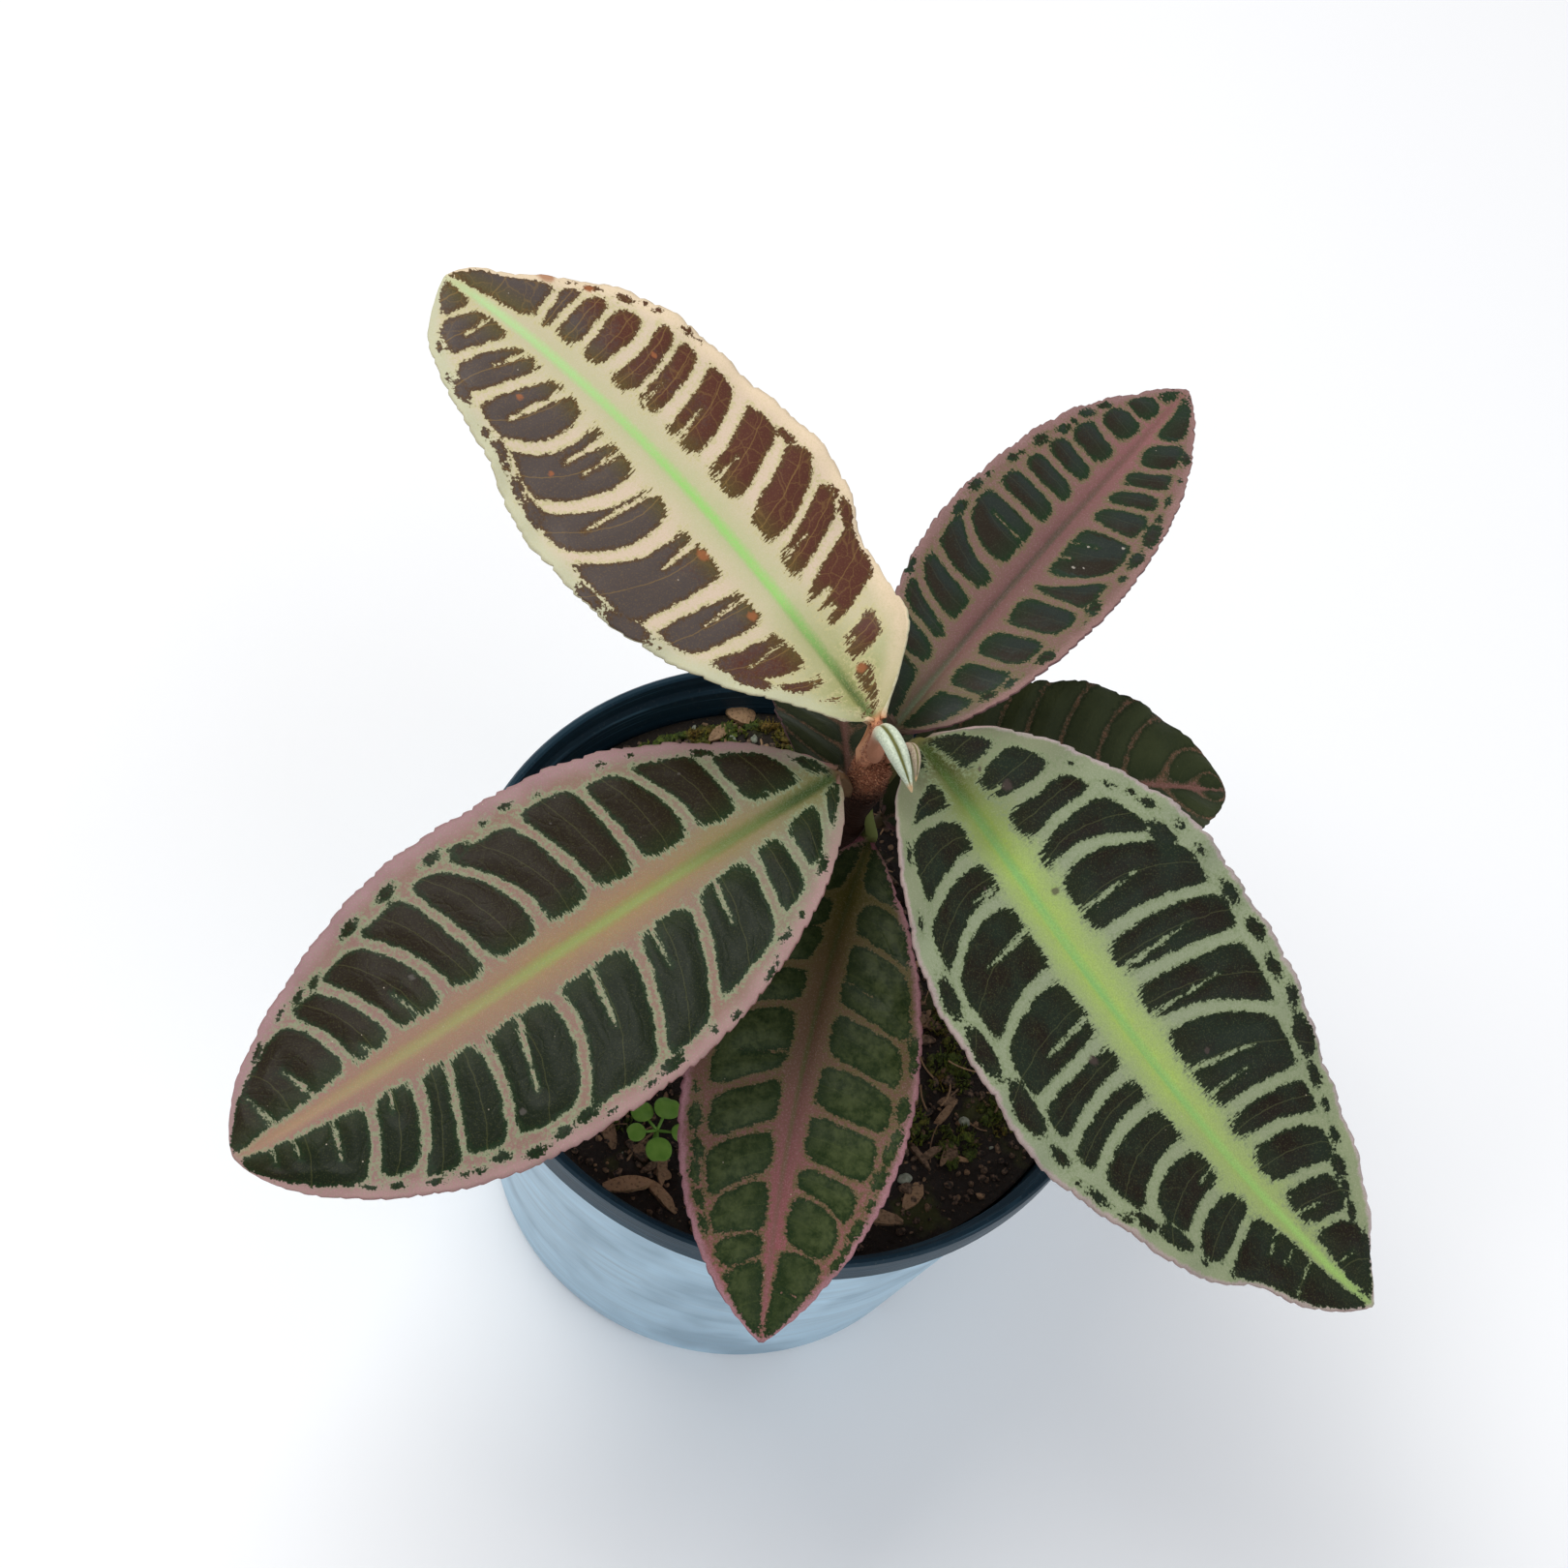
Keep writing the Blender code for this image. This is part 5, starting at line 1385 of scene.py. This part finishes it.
sleeve_bm = tube(SLEEVE_SIDES, STALK_LAST - 1)
for vert in sleeve_bm.verts:
    share = vert.co.z + 0.5
    at = min(STALK_LAST, round(share * STALK_LAST))
    centre, along = inside_stalk(at)
    side = along.cross(Vector((0, 0, 1))).normalized()
    rough = SLEEVE_ROUGH * noise.noise(Vector((vert.co.x * 2, vert.co.y * 2, at / 6)))
    ring = side * vert.co.x + side.cross(along) * vert.co.y
    vert.co = (centre + ring * (mix(SLEEVE_FOOT, SLEEVE_TIP, share) + rough)) * MM
felt = Finish("rust_felt")
orange = felt.blend(felt.cloud(0.5).above(0.0, 0.3), (0.30, 0.11, 0.055), (0.58, 0.27, 0.15))
sleeve = add_object("stalk_sleeve", sleeve_bm, felt.finish(orange, 0.8, felt.cloud(0.3) * 0.15))
sleeve.data.shade_smooth()
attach(sleeve, "root")

for _ in range(SLEEVE_SCALES):
    at = draw.randrange(STALK_LAST)
    centre, along = inside_stalk(at)
    side = along.orthogonal().normalized()
    side.rotate(Matrix.Rotation(draw.uniform(0, 2 * math.pi), 3, along))
    root = centre + side * mix(SLEEVE_FOOT, SLEEVE_TIP, at / STALK_LAST) * 0.95
    scales.append(partial(scale_at, root=root, out=side + along * draw.uniform(0.3, 1.5),
                          length=draw.uniform(0.25, 0.5), width=draw.uniform(0.05, 0.09),
                          tone=draw.random()))
scurf_bm = heap(scales)
rust = Finish("rust_scurf")
# the last coat is painted shade: the scales low on the crown are darkened
scale_colour = rust.coats((0.30, 0.105, 0.055), (rust.stored("tone"), (0.80, 0.43, 0.26)),
                          (rust.height().below(*SCURF_PAINTED_SHADE) * 0.85, (0.035, 0.014, 0.008)))
scurf = add_object("crown_scurf", scurf_bm, rust.finish(scale_colour, 0.8))
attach(scurf, "root")
print("stem:", len(stem.data.polygons), "faces, scurf:", len(scurf.data.polygons))


# %% [markdown]
# Two young leaves at the crown are still folded shut: the first is pale silver-green, with its two halves
# meeting in an olive groove and an orange tip. A ball is drawn out along a bent path, its top pressed in
# where the margins meet, and the share along it and the turn round it are stored so that the finish can
# follow them.

# %% Folded young leaves
YOUNG_LEAVES = (
    ("young_leaf", ((0.6, 4.6, 120.4), (-2.6, 1.2, 142.8), (6.6, -5.4, 131.4)), 1.55),
    ("young_leaf_bud", ((2.2, 5.4, 119.6), (4.8, 5.5, 133.0), (6.8, -0.6, 127.0)), 0.68),
)
YOUNG_NECK, YOUNG_TIP = 0.66, 0.45  # radius at either end, against the fullest
YOUNG_OPENS, YOUNG_CLOSES = (0.2, 0.6), (0.72, 1.0)
YOUNG_FLARE = 0.45  # where it spreads into the crown
YOUNG_GROOVE, GROOVE_TURN = 0.46, 0.30
YOUNG_SIDES, YOUNG_RINGS = 72, 90
YOUNG_RIBS, RIB_HEIGHT = 26, 0.012
GROOVE_FROM, YOUNG_ENDS = 0.3, 1.6  # where the groove starts, and how bluntly the ends close


def ease(span, x):
    """0 before the span and 1 after it, smooth between."""
    t = min(1.0, max(0.0, (x - span[0]) / (span[1] - span[0])))
    return t * t * (3 - 2 * t)


def build_young_leaf(name, path, radius, finish):
    root, bend, tip = (Vector(point) for point in path)
    side = (bend - root).cross(tip - bend).normalized()
    bm = bmesh.new()
    share_layer, turn_layer = (bm.verts.layers.float.new(key) for key in ("share", "groove"))
    bmesh.ops.create_uvsphere(bm, u_segments=YOUNG_SIDES, v_segments=YOUNG_RINGS, radius=1.0)
    for vert in bm.verts:
        share = (1 - vert.co.z) / 2
        centre, along = bent(root, bend, tip, share)
        top = along.normalized().cross(side)
        around = math.hypot(vert.co.x, vert.co.y)
        full = mix(YOUNG_NECK, 1.0, ease(YOUNG_OPENS, share))
        full -= (1 - YOUNG_TIP) * ease(YOUNG_CLOSES, share)
        flare = YOUNG_FLARE * (1 - ease((0.0, 0.22), share))
        size = radius * (full + flare) * min(1.0, around * YOUNG_ENDS)
        turn = math.atan2(vert.co.y, vert.co.x)
        from_groove = abs(turn - math.pi / 2)
        body = min(1.0, max(0.0, (share - GROOVE_FROM) * 4))
        groove = 1 - YOUNG_GROOVE * math.exp(-((from_groove / GROOVE_TURN) ** 2)) * body
        ribs = 1 + RIB_HEIGHT * math.sin(turn * YOUNG_RIBS) * body
        ring = (side * math.cos(turn) + top * math.sin(turn) * groove) * ribs
        vert.co = (centre + (ring * size if around > 1e-6 else Vector())) * MM
        vert[share_layer], vert[turn_layer] = share, from_groove
    bmesh.ops.recalc_face_normals(bm, faces=bm.faces)
    obj = add_object(f"{name}_dressed", bm, finish)
    obj.data.shade_smooth()
    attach(obj, "root")
    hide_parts(name)
    return obj


def young_finish(name, felt, shade, neck):
    f = Finish(name)
    share, groove, hair = f.stored("share"), f.stored("groove"), f.cloud(0.3)
    line = (groove + hair * 0.15).below(0.17, 0.16) * share.above(0.4, 0.15) * share.below(0.97, 0.06)
    colour = f.coats(felt, (hair.above(0.0, 0.3), shade), (share.below(0.42, 0.25), neck),
                     ((share + hair * 0.1).below(0.3, 0.14), (0.42, 0.18, 0.10)),
                     (line, (0.12, 0.12, 0.02)),
                     ((share + hair * 0.03).above(0.955, 0.03) * 0.85, (0.62, 0.40, 0.20)))
    return f.finish(colour, hair * 0.15 + 0.72, hair * 0.16)


silver = young_finish("silver_felt", (0.66, 0.72, 0.57), (0.48, 0.55, 0.41), (0.60, 0.40, 0.28))
rosy = young_finish("rosy_felt", (0.42, 0.36, 0.24), (0.30, 0.22, 0.16), (0.40, 0.22, 0.14))
for (name, path, radius), finish in zip(YOUNG_LEAVES, (silver, rosy)):
    print(build_young_leaf(name, path, radius, finish).name, "made")


# %% [markdown]
# Weed seedlings have come up in the mix, with thin pale stalks and round bright leaves. A leaf is a ball
# pressed flat and cupped; a stalk is a thin straight eight-sided cone, from the foot to a fork and from
# there to each leaf.

# %% Seedlings
# name, x, y, height, radius of a leaf, and the bearing of each leaf
SEEDLINGS = (
    ("seedling_front", -11.0, -34.6, 4.6, 1.75, (10, 85, 150, 215, 290)),
    ("seedling_back", -24.0, 26.5, 3.4, 1.6, (20, 140, 250)),
)
SEEDLING_REACH, SEEDLING_STALK, SEEDLING_ROOT = 3.2, 0.33, 3.0
SEEDLING_FORK, SEEDLING_DROP = 1.2, 0.6  # how far under its top it forks, and the lower leaves spread
CUP, LEAF_HALF_THICK, LEAF_TILT = 0.09, 0.2, 0.12
NOTCH_DEPTH, NOTCH_TURN, LEAF_WAVE = 0.14, 0.35, 0.06


def round_leaf(bm, centre, radius, bearing):
    made = bmesh.ops.create_uvsphere(bm, u_segments=28, v_segments=12, radius=1.0)["verts"]
    for vert in made:
        flat, turn = math.hypot(vert.co.x, vert.co.y), math.atan2(vert.co.y, vert.co.x)
        notch = 1 - NOTCH_DEPTH * math.exp(-((turn / NOTCH_TURN) ** 2)) * flat
        wave = LEAF_WAVE * math.sin(3 * turn + bearing) * flat**2
        vert.co = Vector((vert.co.x * radius * notch, vert.co.y * radius * notch,
                          vert.co.z * LEAF_HALF_THICK + (CUP * flat**2 + wave) * radius))
    tilt = Matrix.Rotation(math.radians(bearing), 4, "Z") @ Matrix.Rotation(LEAF_TILT, 4, "Y")
    bmesh.ops.transform(bm, matrix=Matrix.Translation(centre * MM) @ tilt @ TO_METRES, verts=made)


def stalk_between(bm, low, high, radius):
    """A straight thin stalk, eight-sided."""
    way = high - low
    turn = Vector((0, 0, 1)).rotation_difference(way).to_matrix().to_4x4()
    place = Matrix.Translation((low + high) / 2 * MM) @ turn
    bmesh.ops.create_cone(bm, cap_ends=True, segments=8, radius1=radius * 1.15 * MM,
                          radius2=radius * 0.85 * MM, depth=way.length * MM, matrix=place)


leaf_green = Finish("seedling_green")
veil = leaf_green.cloud(1.6)
fresh = leaf_green.blend(veil.above(0.0, 0.4), (0.15, 0.36, 0.045), (0.22, 0.47, 0.07))
fresh_finish = leaf_green.finish(fresh, veil * 0.1 + 0.45, leaf_green.cloud(0.5) * 0.06)
for name, x, y, height, radius, bearings in SEEDLINGS:
    bm = bmesh.new()
    foot = Vector((x, y, SOIL_LEVEL - SEEDLING_ROOT))
    fork = Vector((x, y, SOIL_LEVEL + height - SEEDLING_FORK))
    stalk_between(bm, foot, fork, SEEDLING_STALK)
    for index, bearing in enumerate(bearings):
        out = Vector((math.cos(math.radians(bearing)), math.sin(math.radians(bearing)), 0))
        level = SOIL_LEVEL + height - SEEDLING_DROP + 0.5 * (index % 2)
        leaf_at = Vector((x, y, level)) + out * SEEDLING_REACH
        stalk_between(bm, fork - out * 0.1, leaf_at, SEEDLING_STALK * 0.7)
        round_leaf(bm, leaf_at + out * 0.3, radius * (0.85 + 0.15 * ((index * 2) % 3)), bearing)
    seedling = add_object(f"{name}_dressed", bm, fresh_finish)
    seedling.data.shade_smooth()
    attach(seedling, "root")
    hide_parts(name)
    print(seedling.name, "has", len(bearings), "leaves")
